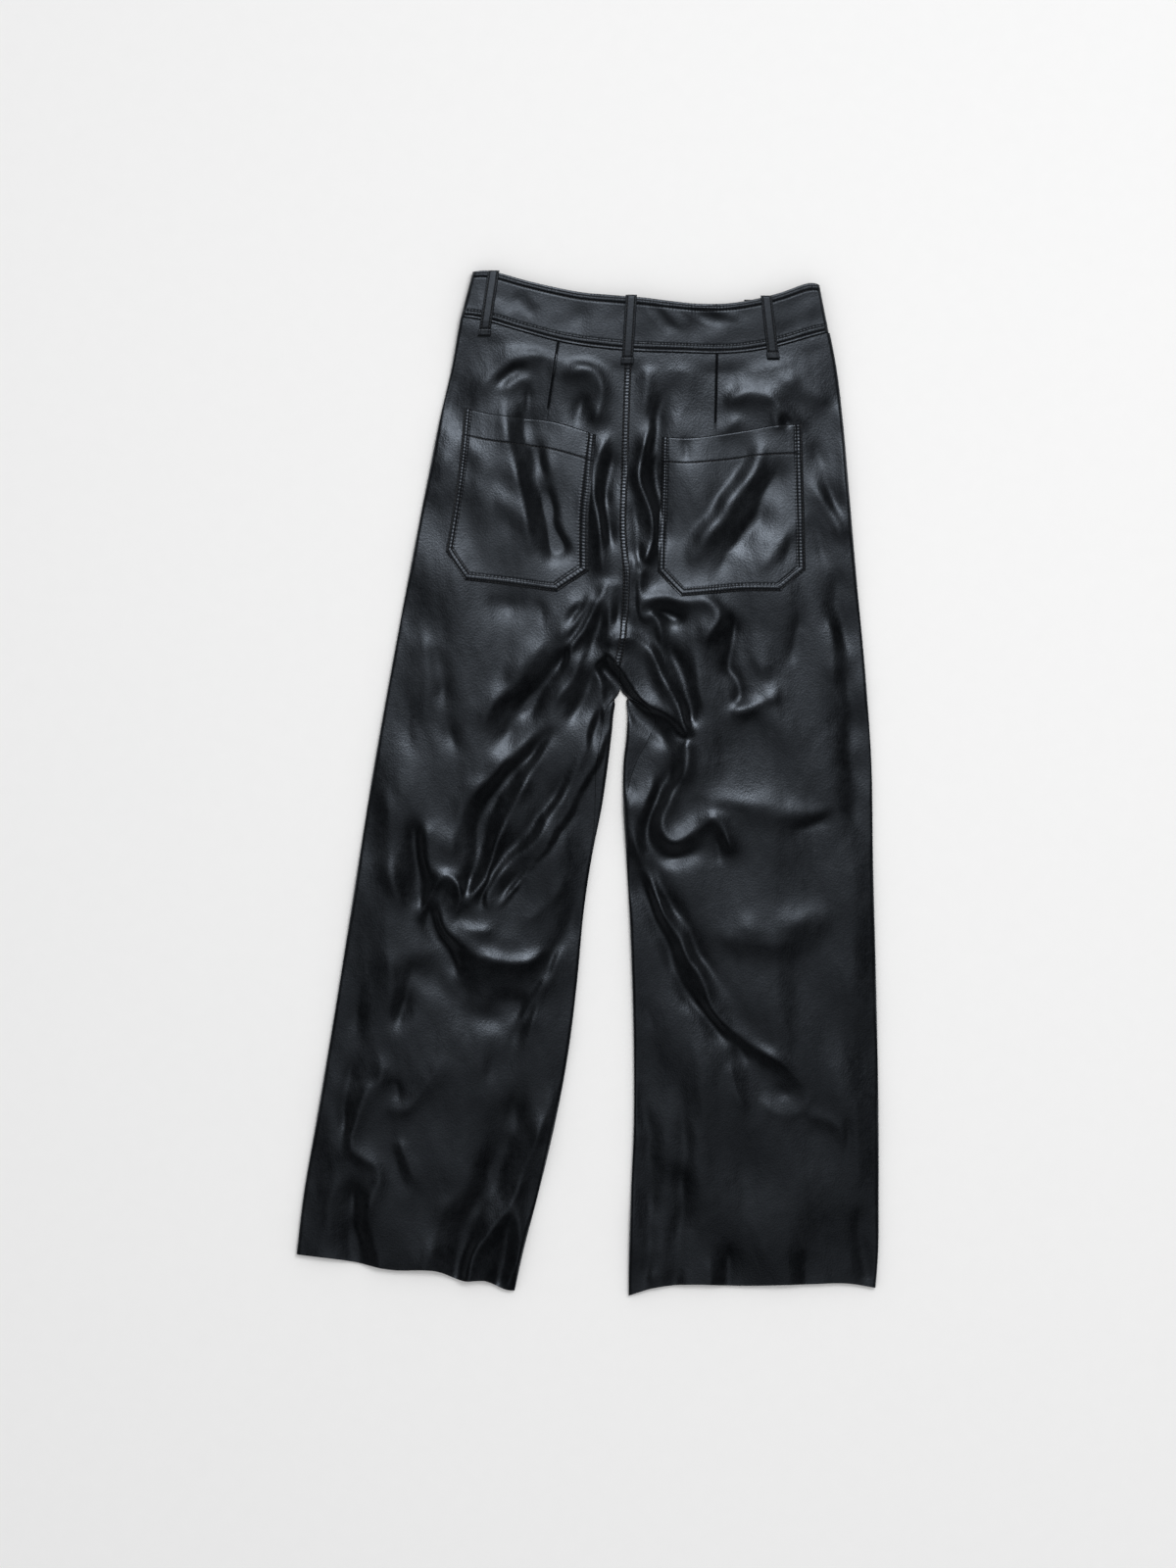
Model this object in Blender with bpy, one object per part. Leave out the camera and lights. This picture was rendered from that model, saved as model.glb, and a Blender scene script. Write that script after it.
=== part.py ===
"""Cropped wide-leg leather trousers with a high waist, lying flat with the back up.

Every cut piece is one closed wall of leather, worked out from the sections of the two legs, a table of
folds and the height of the two layers. X runs across, with the wearer's left at -X. Y runs towards the
waist, and Z runs up from the surface that the garment lies on. Sizes are in millimetres until a mesh is
made.
"""

from collections import namedtuple

import bpy
import numpy as np

MM = 0.001

# The leather, and the clearances between pieces.
LEATHER = 1.2
DOUBLED = 2.4  # band and turned pocket hem, two layers
SEAM_GAP = 0.4
LAID_GAP = 0.35  # between a panel and what is sewn on it

# The two layers lying on each other.
ROLL = 3.8  # how far in from the outline a turned edge reaches its full height
EDGE_MIDDLE = 3.6  # height of the outseam
LAID_HEIGHT = 5.2  # outside of the back panel, away from the edges
RIM_HEIGHT = 8.4  # the same just inside a turned edge
RIM_WIDTH = 20.0
LOWEST_TOP = 3.6  # no valley presses the back panel lower

# The waistband, which lies on its front loops.
BAND_FLOOR = 2.1
BAND_HEIGHT = 10.8
BAND_PROUD = 0.6  # how far the band stands out from the panels
BAND_RISE = 62.0  # length over which the back panels rise to the band
FRONT_RISE = 50.0  # the same under it, where the last stretch is level over the loops
FRONT_LEVEL = 20.0

# Belt loops.
LOOP_WIDTH = 11.0
LOOP_THICK = 1.8
LOOP_GAP = 0.4
LOOP_ARCH = 0.5
LOOP_STATIONS = 7

# The zip at the centre front, inside.
ZIP_WIDTH = 26.0
ZIP_THICK = 1.0
ZIP_TOP = 455.4
ZIP_BOTTOM = 300.0
ZIP_GAP = 0.3
ZIP_STATIONS = 15
ZIP_RISE_START = 356.0
ZIP_RISE_END = 394.0
SLIDER_WIDTH = 8.0
SLIDER_TOP = 465.0
SLIDER_FOOT = 456.0
SLIDER_HEIGHT = 2.6
PULL_FOOT = 432.0
PULL_THICK = 1.0

# The middle of the outline, where the origin goes.
MIDDLE_X = 0.16
MIDDLE_Y = 0.05

CROTCH = 90.0
WAIST_LEVEL = 418.0  # the band's seam at the centre back
HEM_LEVEL = -488.0
PART_START = 97.0  # where, going down, the fronts begin to turn up round the legs
PART_END = 74.0  # where they have turned up
NO_INNER_EDGE = 200.0  # stands for the distance to an inner edge above the crotch
SPREAD_SHORT = 20.0  # how far from the middle the lower layer's even lines stop
SETTLE_TURNS = 4

Side = namedtuple("Side", "y left right")
SIDES = (
    Side(500, -109.5, 221.0),
    Side(475, -118.0, 226.0),
    Side(450, -123.0, 231.5),
    Side(400, -132.0, 241.5),
    Side(350, -143.5, 247.5),
    Side(300, -153.5, 252.0),
    Side(200, -173.0, 260.5),
    Side(90, -193.5, 270.5),
    Side(20, -206.0, 275.0),
    Side(-70, -220.5, 276.5),
    Side(-190, -239.5, 279.5),
    Side(-260, -251.0, 281.0),
    Side(-330, -263.0, 282.0),
    Side(-400, -275.0, 282.0),
    Side(-455, -281.7, 281.5),
    Side(-500, -286.5, 278.0),
)

Centre = namedtuple("Centre", "y x")
CENTRES = (
    Centre(480, 39.5),
    Centre(400, 39.0),
    Centre(300, 35.7),
    Centre(240, 34.5),
    Centre(200, 37.5),
    Centre(150, 34.5),
    Centre(120, 32.0),
    Centre(60, 32.5),
)

Inner = namedtuple("Inner", "y left right")
INNERS = (
    Inner(100, 33.5, 33.5),
    Inner(90, 32.0, 33.0),
    Inner(75, 26.8, 37.8),
    Inner(50, 23.8, 38.0),
    Inner(20, 20.2, 34.9),
    Inner(-20, 14.4, 34.5),
    Inner(-70, 4.4, 37.5),
    Inner(-120, -3.1, 40.4),
    Inner(-190, -9.8, 43.2),
    Inner(-260, -18.4, 44.9),
    Inner(-330, -31.5, 44.8),
    Inner(-400, -48.3, 42.0),
    Inner(-450, -61.3, 40.2),
    Inner(-500, -72.5, 39.8),
)

# How far the inseam lies from the inner outline, on the upper side.
LEAST_INSET = 1.6
Inset = namedtuple("Inset", "y left right")
INSETS = (
    Inset(100, 1.6, 1.6),
    Inset(90, 1.6, 2.0),
    Inset(76, 7.0, 16.0),
    Inset(62, 9.5, 27.0),
    Inset(45, 10.5, 22.0),
    Inset(14, 11.0, 10.0),
    Inset(-14, 8.0, 3.5),
    Inset(-45, 3.4, 1.6),
    Inset(-88, 1.6, 1.6),
    Inset(-500, 1.6, 1.6),
)

# The band's upper edge and its seam, from the wearer's left to the right.
Waist = namedtuple("Waist", "top_x top_y seam_x seam_y")
WAISTS = (
    Waist(-111.0, 495.4, -122.5, 451.0),
    Waist(-90.5, 495.4, -101.5, 447.5),
    Waist(-61.5, 487.0, -70.0, 438.5),
    Waist(-19.0, 477.5, -26.0, 426.5),
    Waist(42.5, 471.5, 38.5, 418.0),
    Waist(95.0, 464.0, 94.0, 416.0),
    Waist(124.0, 463.0, 126.0, 415.1),
    Waist(152.0, 467.0, 155.0, 417.0),
    Waist(181.0, 472.5, 185.0, 422.5),
    Waist(209.0, 482.0, 215.0, 431.0),
    Waist(224.5, 482.0, 233.5, 436.0),
)

Hem = namedtuple("Hem", "x y")
LEFT_HEM = (
    Hem(-283, -455.5),
    Hem(-235, -461.5),
    Hem(-190, -470.5),
    Hem(-144, -472.5),
    Hem(-121, -481.0),
    Hem(-99, -481.5),
    Hem(-76, -490.5),
    Hem(-68, -491.0),
)
RIGHT_HEM = (
    Hem(38, -496.4),
    Hem(61, -489.0),
    Hem(84, -485.5),
    Hem(107, -484.8),
    Hem(141, -486.0),
    Hem(209, -484.6),
    Hem(255, -484.2),
    Hem(280, -488.4),
)

# How much of the waist's curve a row at each level of the centre back keeps.
Bend = namedtuple("Bend", "level waist")
BENDS = (
    Bend(40, 0.0),
    Bend(90, 0.15),
    Bend(180, 0.58),
    Bend(335, 0.95),
    Bend(WAIST_LEVEL, 1.0),
)
HEM_BEND_LEVEL = -330.0

# Runs of rows down a panel, by the level at the centre back where each ends.
Run = namedtuple("Run", "end count")
Pocket = namedtuple("Pocket", "top bottom outer_top outer_bottom inner_top inner_bottom")
LEFT_POCKET = Pocket(333.0, 178.0, 0.122, 0.155, 0.837, 0.833)
RIGHT_POCKET = Pocket(337.0, 182.0, 0.195, 0.220, 0.837, 0.866)
POCKET_HEM = 26.0
POCKET_CORNER = 20.0
HEM_ROWS = 2
POCKET_ROWS = 8
POCKET_COLUMNS = 7

Fold = namedtuple("Fold", "name x1 y1 x2 y2 x3 y3 width height")
FOLDS = (
    Fold("left hip arc", -107, 377, -70, 414, -32, 421, 24, 4.0),
    Fold("left pocket valley", -72, 352, -58, 290, -38, 208, 19, -4.0),
    Fold("left pocket ridge", -50, 345, -37, 285, -8, 212, 20, 5.0),
    Fold("left pocket outer ridge", -86, 350, -74, 285, -58, 205, 24, 3.0),
    Fold("seat ridge left of the seam", 14, 400, 16, 310, 2, 205, 18, 3.0),
    Fold("seat ridge right of the seam", 62, 398, 60, 310, 50, 225, 17, 3.0),
    Fold("right hip ridge", 124, 342, 176, 378, 228, 370, 25, 4.0),
    Fold("right pocket ridge", 174, 340, 132, 270, 82, 203, 24, 5.0),
    Fold("right pocket valley", 150, 330, 116, 276, 92, 236, 17, -2.0),
    Fold("fold under the left pocket", 24, 200, -2, 160, -20, 118, 18, 4.0),
    Fold("arc under the right pocket", 56, 160, 100, 178, 104, 124, 15, 7.0),
    Fold("bridge over the crotch", 8, 120, 50, 128, 98, 44, 25, 13.0),
    Fold("left thigh long ridge", -8, 96, -62, 20, -122, -112, 27, 7.0),
    Fold("left thigh second ridge", 14, 56, -28, -8, -92, -128, 21, 7.5),
    Fold("left inner drop", 22, 40, -8, -50, -70, -128, 12, -2.0),
    Fold("left knee ridge", -136, -84, -128, -146, -44, -154, 20, 10.0),
    Fold("left knee upper curl", -172, -72, -157, -118, -137, -88, 16, 6.0),
    Fold("left outer thigh ridge", -196, 12, -172, -30, -164, -118, 22, 4.0),
    Fold("left shin bend", -186, -246, -206, -262, -200, -292, 17, 4.0),
    Fold("left shin ridge", -200, -292, -232, -336, -208, -410, 20, 4.0),
    Fold("left calf ridge", -36, -164, -58, -214, -76, -250, 22, 3.0),
    Fold("left hem wave", -72, -410, -100, -445, -112, -484, 22, 3.0),
    Fold("right thigh ridge", 84, -8, 156, -24, 234, -20, 24, 7.5),
    Fold("right thigh crest", 76, -40, 104, -48, 144, -66, 17, 10.0),
    Fold("right knee valley", 44, -44, 96, -176, 150, -262, 17, -1.5),
    Fold("right knee long ridge", 40, -22, 106, -200, 206, -298, 21, 5.0),
    Fold("right knee swell", 124, -136, 186, -126, 236, -102, 34, 4.5),
    Fold("right hem wave", 52, -440, 56, -465, 60, -492, 16, 3.0),
)
CURVE_STEPS = 24
FADE_LEAST = 0.04
FADE_POWER = 0.6
GHOST = 1.0  # step past a panel's edge at which its direction is read
SLOPE_STEP = 0.2

# Places across a panel, in millimetres from the outline or the seam.
ROLL_START = 0.9
BACK_OUTER = (0.0, ROLL_START, ROLL, 14.0)
BACK_INNER = (20.0, 10.0, 2.6, SEAM_GAP / 2)
FRONT_FRACTIONS = (0.14, 0.28, 0.42, 0.56, 0.7, 0.85)
FRONT_FLAT_INNER = (34.0, 22.0, 11.0)
BAND_CELLS = 16
BAND_ROWS = 3

LEFT, RIGHT = -1, 1


def smooth(x, table, key, value):
    """Reads a table as a cubic curve through its rows, with slopes from the neighbours."""
    rows = sorted(table, key=lambda row: getattr(row, key))
    keys = np.array([getattr(row, key) for row in rows], float)
    values = np.array([getattr(row, value) for row in rows], float)
    slopes = np.gradient(values, keys)
    x = np.clip(np.asarray(x, float), keys[0], keys[-1])
    i = np.clip(np.searchsorted(keys, x) - 1, 0, len(keys) - 2)
    step = keys[i + 1] - keys[i]
    t = (x - keys[i]) / step
    start = (1 + 2 * t) * (1 - t) ** 2 * values[i] + t * (1 - t) ** 2 * step * slopes[i]
    end = t * t * (3 - 2 * t) * values[i + 1] + t * t * (t - 1) * step * slopes[i + 1]
    return start + end


def ease(x, low, high):
    """Goes smoothly from 0 at low to 1 at high."""
    t = np.clip((np.asarray(x, float) - low) / (high - low), 0.0, 1.0)
    return t * t * (3 - 2 * t)


def outline(side, y):
    """X of the outer edge of one leg."""
    return smooth(y, SIDES, "y", "left" if side == LEFT else "right")


def centre(y):
    """X of the centre back seam, and of the centre front under it."""
    return smooth(y, CENTRES, "y", "x")


def inner(side, y):
    """X of the inner edge of one leg, below the crotch."""
    return smooth(y, INNERS, "y", "left" if side == LEFT else "right")


def inseam(side, y):
    """X of the inseam on the upper side."""
    inset = smooth(y, INSETS, "y", "left" if side == LEFT else "right")
    return inner(side, y) + side * np.maximum(inset, LEAST_INSET)


def back_edge(side, y):
    """X where a back panel ends: the centre seam, and the inseam below the crotch."""
    return np.where(np.asarray(y) >= CROTCH, centre(y), inseam(side, y))


def seam_y(x):
    """Y of the waistband's seam."""
    return smooth(x, WAISTS, "seam_x", "seam_y")


def rolled(distance):
    """Share of the full height that a turned edge has reached, as a quarter of an ellipse."""
    t = np.clip(distance / ROLL, 0.0, 1.0)
    return np.sqrt(1.0 - (1.0 - t) ** 2)


def fold_points(fold):
    """Points along a fold: a parabola through its start, middle and end."""
    t = np.linspace(0.0, 1.0, CURVE_STEPS + 1)[:, None]
    start, middle, end = np.array(fold[1:7], float).reshape(3, 2)
    pull = 2 * middle - (start + end) / 2
    return t[:, 0], (1 - t) ** 2 * start + 2 * t * (1 - t) * pull + t * t * end


def folds_height(x, y):
    """Sum of the folds: each is a smooth hump across its line and fades out at both ends."""
    total = np.zeros(np.shape(x))
    for fold in FOLDS:
        t, line = fold_points(fold)
        away = np.hypot(x[..., None] - line[:, 0], y[..., None] - line[:, 1])
        nearest = away.argmin(-1)
        across = np.clip(away.min(-1) / fold.width, 0.0, 1.0)
        fade = np.sin(np.pi * np.clip(t[nearest], FADE_LEAST, 1 - FADE_LEAST)) ** FADE_POWER
        total += fold.height * fade * np.cos(across * np.pi / 2) ** 2
    return total


def waist_share(x, y, length, level=0.0):
    """Share of the rise to the waistband's height, from length below its seam to level below it."""
    return ease(y - seam_y(x), -length, -level)


def upper_height(side, x, y):
    """Height of the outside of the upper layer, before its edges turn down."""
    outer = np.abs(x - outline(side, y))
    inner_side = np.abs(inner(side, y) - x) + NO_INNER_EDGE * ease(y, PART_END, PART_START)
    near = np.minimum(outer, inner_side)
    laid = LAID_HEIGHT + (RIM_HEIGHT - LAID_HEIGHT) * np.exp(-((near / RIM_WIDTH) ** 2))
    laid = np.maximum(laid + folds_height(x, y), LOWEST_TOP)
    share = waist_share(x, y, BAND_RISE)
    return laid * (1 - share) + (BAND_HEIGHT - BAND_PROUD) * share


def middle_height(x, y):
    """Height of a turned edge's middle, where the outseam runs."""
    share = waist_share(x, y, BAND_RISE)
    return EDGE_MIDDLE * (1 - share) + (BAND_FLOOR + BAND_HEIGHT) / 2 * share


def top_z(side, x, y):
    """Height of the upper layer with its outer edge, and its inner edge below the crotch, turned down."""
    parted = 1.0 - ease(y, PART_END, PART_START)
    outer = rolled(np.abs(x - outline(side, y)))
    inner_side = 1.0 - parted * (1.0 - rolled(np.abs(inner(side, y) - x)))
    middle = middle_height(x, y) + SEAM_GAP / 2
    return middle + (upper_height(side, x, y) - middle) * np.minimum(outer, inner_side)


def top_normal(side, x, y, outside):
    """Unit normal of the upper layer from its slopes, or straight outwards where it meets the outline."""
    low, high = (top_z(side, x - SLOPE_STEP, y), top_z(side, x + SLOPE_STEP, y))
    near, far = (top_z(side, x, y - SLOPE_STEP), top_z(side, x, y + SLOPE_STEP))
    across, along = (high - low) / (2 * SLOPE_STEP), (far - near) / (2 * SLOPE_STEP)
    normal = np.stack([-across, -along, np.ones_like(across)], -1)
    normal[outside] = (side, 0.0, 0.0)
    return normal / np.linalg.norm(normal, axis=-1, keepdims=True)


def floor_z(x, y, distance):
    """Height of the lower layer's outside, flat on the surface away from its turned edge."""
    low = (BAND_FLOOR + BAND_PROUD) * waist_share(x, y, FRONT_RISE, FRONT_LEVEL)
    middle = middle_height(x, y) - SEAM_GAP / 2
    return middle + (low - middle) * rolled(distance)


def rows_of(pocket):
    """Levels of the rows of both panels, with the places of the pocket's edges among them."""
    start = float(seam_y(centre(WAIST_LEVEL))) - SEAM_GAP / 2
    runs = (
        Run(pocket.top, 5),
        Run(pocket.top - POCKET_HEM, HEM_ROWS),
        Run(pocket.bottom + POCKET_CORNER, POCKET_ROWS),
        Run(pocket.bottom, 1),
        Run(CROTCH, 6),
        Run(-190.0, 17),
        Run(HEM_LEVEL, 9),
    )
    levels = [start]
    for run in runs:
        levels += list(np.linspace(levels[-1], run.end, run.count + 1)[1:])
    first = runs[0].count
    return np.array(levels), first, first + HEM_ROWS + POCKET_ROWS + 1


def row_y(side, level, x):
    """Y of a row at x: level in the middle, bent like the waist near it and like the hem near that."""
    hem = LEFT_HEM if side == LEFT else RIGHT_HEM
    waist = np.interp(level, [b.level for b in BENDS], [b.waist for b in BENDS])
    hem_share = 1.0 - ease(level, HEM_LEVEL, HEM_BEND_LEVEL)
    from_waist = waist * (seam_y(x) - seam_y(centre(WAIST_LEVEL)))
    return level + from_waist + hem_share * (smooth(x, hem, "x", "y") - HEM_LEVEL)


def settle(side, level, place):
    """Finds the x and y of a line across and a row by turns. place(y) gives the line's x."""
    y = np.array(level, float)
    for _ in range(SETTLE_TURNS):
        x = place(y)
        y = row_y(side, level, x)
    return x, y


def pocket_share(pocket, level, edge):
    """Share of the panel's width at which a pocket's outer or inner edge runs."""
    top, bottom = getattr(pocket, edge + "_top"), getattr(pocket, edge + "_bottom")
    return np.interp(level, [pocket.bottom, pocket.top], [bottom, top])


def back_grid(side, pocket, levels):
    """Outside points of a back panel and their normals, row by row from the outseam to the middle."""
    grow = -side  # from the outer edge towards the middle

    def fixed(distance):
        return lambda y: outline(side, y) + grow * distance

    def from_inner(distance):
        return lambda y: back_edge(side, y) - grow * distance

    def shared(share):
        return lambda y: outline(side, y) + share * (back_edge(side, y) - outline(side, y))

    width = np.abs(centre(levels) - outline(side, levels))
    outer = pocket_share(pocket, levels, "outer")
    inward = pocket_share(pocket, levels, "inner")
    corner = POCKET_CORNER / width
    places = [fixed(distance) for distance in BACK_OUTER]
    places += [shared(outer)]
    places += [shared(s) for s in np.linspace(outer + corner, inward - corner, POCKET_COLUMNS + 1)]
    places += [shared(inward)]
    places += [from_inner(distance) for distance in BACK_INNER]
    spots = [settle(side, levels, place) for place in places]
    x = np.stack([spot[0] for spot in spots], 1)
    y = np.stack([spot[1] for spot in spots], 1)
    turned = np.zeros(x.shape, bool)
    turned[:, 0] = True
    return np.stack([x, y, top_z(side, x, y)], -1), top_normal(side, x, y, turned)


def front_grid(side, levels):
    """Outside points of a front panel: under the garment, round the inner edge and up to the inseam."""
    grow = -side
    columns = []
    for distance, turn in ((ROLL_START, -1), (0.0, 1), (ROLL_START, 1), (ROLL, 1)):
        x, y = settle(side, levels, lambda y, d=distance: outline(side, y) + grow * d)
        z = floor_z(x, y, distance)
        z = z if turn > 0 else 2 * (middle_height(x, y) - SEAM_GAP / 2) - z
        columns.append(np.stack([x, y, z], -1))
    for share in FRONT_FRACTIONS:
        x, y = settle(
            side,
            levels,
            lambda y, s=share: outline(side, y) + s * (lower_edge(side, y) - outline(side, y)),
        )
        columns.append(np.stack([x, y, floor_z(x, y, ROLL)], -1))
    wrapped, flat = wrapped_lines(side, levels), flat_lines(side, levels)
    turned = 1.0 - ease(levels, PART_END, PART_START)
    for up, down in zip(wrapped, flat):
        columns.append(down + turned[:, None] * (up - down))
    return np.stack(columns, 1)


def lower_edge(side, y):
    """X that the lower layer's middle lines are spread to: the centre, or the leg's inner edge."""
    turned = 1.0 - ease(y, PART_END, PART_START)
    return centre(y) + turned * (inner(side, y) - centre(y)) + side * SPREAD_SHORT


def wrapped_lines(side, levels):
    """Lines of a front panel's inner edge below the crotch: up round the leg and over to the inseam."""
    lines = []
    for distance in (ROLL, ROLL_START, 0.0):
        x, y = settle(side, levels, lambda y, d=distance: inner(side, y) + side * d)
        lines.append(np.stack([x, y, floor_z(x, y, distance)], -1))
    for past in (0.0, SLOPE_STEP):
        x, y = settle(
            side,
            levels,
            lambda y, p=past: inseam(side, y) + side * (p - SEAM_GAP / 2),
        )
        lines.append(np.stack([x, y, top_z(side, x, y)], -1))
    return lines


def flat_lines(side, levels):
    """The same lines above the crotch, flat beside the centre front."""
    lines = []
    for distance in FRONT_FLAT_INNER + (SEAM_GAP / 2, SEAM_GAP / 2 - GHOST):
        x, y = settle(side, levels, lambda y, d=distance: centre(y) + side * d)
        lines.append(np.stack([x, y, floor_z(x, y, ROLL)], -1))
    return lines


def outward(grid, sign):
    """Unit normals of a grid's own points, from the lines and rows on each side of them."""
    across = grid[1:-1, 2:] - grid[1:-1, :-2]
    along = grid[2:, 1:-1] - grid[:-2, 1:-1]
    normal = sign * np.cross(across, along)
    return normal / np.linalg.norm(normal, axis=-1, keepdims=True)


def cell_triangles(rows, columns):
    """Two triangles for each cell of a grid, cut the other way in the second half of each row."""
    faces = []
    for r in range(rows - 1):
        for c in range(columns - 1):
            a, b = r * columns + c, r * columns + c + 1
            d, e = a + columns, b + columns
            if c < columns // 2:
                faces += [(a, e, b), (a, d, e)]
            else:
                faces += [(a, d, b), (b, d, e)]
    return faces


def wall(name, outer, inward, faces, material):
    """Makes a closed wall from its outside, its inside and the triangles of one side."""
    used = sorted({i for face in faces for i in face})
    place = {old: new for new, old in enumerate(used)}
    count = len(used)
    points = np.concatenate([outer.reshape(-1, 3)[used], inward.reshape(-1, 3)[used]])
    upper = [tuple(place[i] for i in face) for face in faces]
    edges = {(face[k], face[(k + 1) % 3]) for face in upper for k in range(3)}
    rim = [(a, b) for a, b in edges if (b, a) not in edges]
    lower = [(c + count, b + count, a + count) for a, b, c in upper]
    sides = []
    for a, b in sorted(rim):
        sides += [(b, a, a + count), (b, a + count, b + count)]
    make(name, points, upper + lower + sides, material)


def make(name, points, faces, material):
    """Adds one object, turned outwards, with its place in its mesh."""
    points = np.array(points, float) - (MIDDLE_X, MIDDLE_Y, 0.0)
    corners = points[np.array(faces)]
    volume = np.einsum("ij,ij->i", corners[:, 0], np.cross(corners[:, 1], corners[:, 2])).sum()
    if volume < 0:
        faces = [face[::-1] for face in faces]
    mesh = bpy.data.meshes.new(name)
    mesh.from_pydata((points * MM).tolist(), [], faces)
    mesh.materials.append(material)
    mesh.shade_smooth()
    mesh.set_sharp_from_angle(angle=0.7)
    piece = bpy.data.objects.new(name, mesh)
    bpy.context.scene.collection.objects.link(piece)


def finish(name, colour, roughness, metallic=0.0):
    """A plain finish."""
    material = bpy.data.materials.new(name)
    material.use_nodes = True
    shader = material.node_tree.nodes["Principled BSDF"]
    shader.inputs["Base Color"].default_value = (*colour, 1.0)
    shader.inputs["Roughness"].default_value = roughness
    shader.inputs["Metallic"].default_value = metallic
    return material


def ghosted(levels):
    """Levels with one more at each end."""
    return np.concatenate([[levels[0] + GHOST], levels, [levels[-1] - GHOST]])


def back_and_pocket(side, label, pocket, leather, pocket_leather):
    """Makes a back panel, and the pocket that is made from its points, moved out."""
    levels, first, last = rows_of(pocket)
    grid, normals = back_grid(side, pocket, levels)
    faces = cell_triangles(*grid.shape[:2])
    wall("back_" + label, grid, grid - LEATHER * normals, faces, leather)

    left = len(BACK_OUTER)
    right = left + POCKET_COLUMNS + 2
    patch = grid[first : last + 1, left : right + 1]
    up = normals[first : last + 1, left : right + 1]
    thick = np.full(patch.shape[0], LEATHER)
    thick[:HEM_ROWS] = DOUBLED
    rows, columns = patch.shape[:2]
    faces = cell_triangles(rows, columns)
    corners = {(rows - 1) * columns, rows * columns - 1}
    faces = [face for face in faces if not corners & set(face)]
    inside = patch + LAID_GAP * up
    outside = inside + thick[:, None, None] * up
    wall("pocket_" + label, outside, inside, faces, pocket_leather)


def front(side, label, pocket, leather):
    """Makes a front panel."""
    levels, _, _ = rows_of(pocket)
    grid = front_grid(side, ghosted(levels))
    normals = outward(grid, -side)
    own = grid[1:-1, 1:-1]
    parted = levels <= PART_END
    seam = own[parted, -1]
    no_edge = np.zeros(len(seam), bool)
    normals[parted, -1] = top_normal(side, seam[:, 0], seam[:, 1], no_edge)
    faces = cell_triangles(*own.shape[:2])
    wall("front_" + label, own, own - LEATHER * normals, faces, leather)


def band_place(share, across):
    """X and y in the waistband: share runs from the left to the right, across from the seam to the top."""
    stations = np.linspace(0.0, 1.0, len(WAISTS))
    table = np.array(WAISTS, float)
    top_x, top_y, seam_x, bottom_y = (np.interp(share, stations, table[:, k]) for k in range(4))
    bottom_y = seam_y(seam_x) + SEAM_GAP / 2
    return seam_x + across * (top_x - seam_x), bottom_y + across * (top_y - bottom_y)


def band_share(x):
    """Share along the waistband at which its seam is at x."""
    seams = [row.seam_x for row in WAISTS]
    return np.interp(x, seams, np.linspace(0.0, 1.0, len(seams)))


def band_piece(name, start, end, upper, material):
    """Makes a piece of the waistband between two places, with its turned end or ends at the outseams."""
    left_end, right_end = WAISTS[0].seam_x, WAISTS[-1].seam_x
    spots = list(np.linspace(start, end, BAND_CELLS + 1))
    if start == left_end:
        spots[0:1] = [left_end, left_end + ROLL_START, left_end + ROLL]
    if end == right_end:
        spots[-1:] = [right_end - ROLL, right_end - ROLL_START, right_end]
    spots = np.array(spots)
    share = band_share(spots)[None, :]
    across = np.linspace(0.0, 1.0, BAND_ROWS + 1)[:, None]
    x, y = band_place(share, across)
    distance = np.minimum(spots - left_end, right_end - spots)[None, :] + 0.0 * y
    middle = (BAND_FLOOR + BAND_HEIGHT) / 2
    outer_z = BAND_HEIGHT if upper else BAND_FLOOR
    inner_z = BAND_HEIGHT - DOUBLED if upper else BAND_FLOOR + DOUBLED
    edge = middle + (SEAM_GAP / 2 if upper else -SEAM_GAP / 2)
    outside = np.stack([x, y, edge + (outer_z - edge) * rolled(distance)], -1)
    tuck = np.clip(DOUBLED - distance, 0.0, DOUBLED)
    inset = np.where(spots < (left_end + right_end) / 2, 1.0, -1.0)[None, :] * tuck
    inside_distance = np.clip(distance + tuck - DOUBLED, 0.0, None)
    inner_share = rolled(inside_distance * ROLL / (ROLL - DOUBLED + 1.0))
    inside = np.stack([x + inset, y, edge + (inner_z - edge) * inner_share], -1)
    wall(name, outside, inside, cell_triangles(*outside.shape[:2]), material)


def strip(x, y, z, sides):
    """Points of a strip along a line, with one line of points at each offset across it."""
    return np.stack([x[:, None] + sides, y[:, None] + 0.0 * sides, z[:, None] + 0.0 * sides], -1)


Loop = namedtuple("Loop", "name top_x top_y foot_x foot_y upper")
LOOPS = (
    Loop("loop_back_left", -90.5, 495.9, -100.0, 432.5, True),
    Loop("loop_back_centre", 42.5, 472.2, 38.3, 405.0, True),
    Loop("loop_back_right", 172.5, 471.3, 179.8, 410.0, True),
    Loop("loop_front_left", -73.0, 490.0, -81.0, 426.0, False),
    Loop("loop_front_right", 157.5, 468.8, 163.5, 404.0, False),
)


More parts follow.
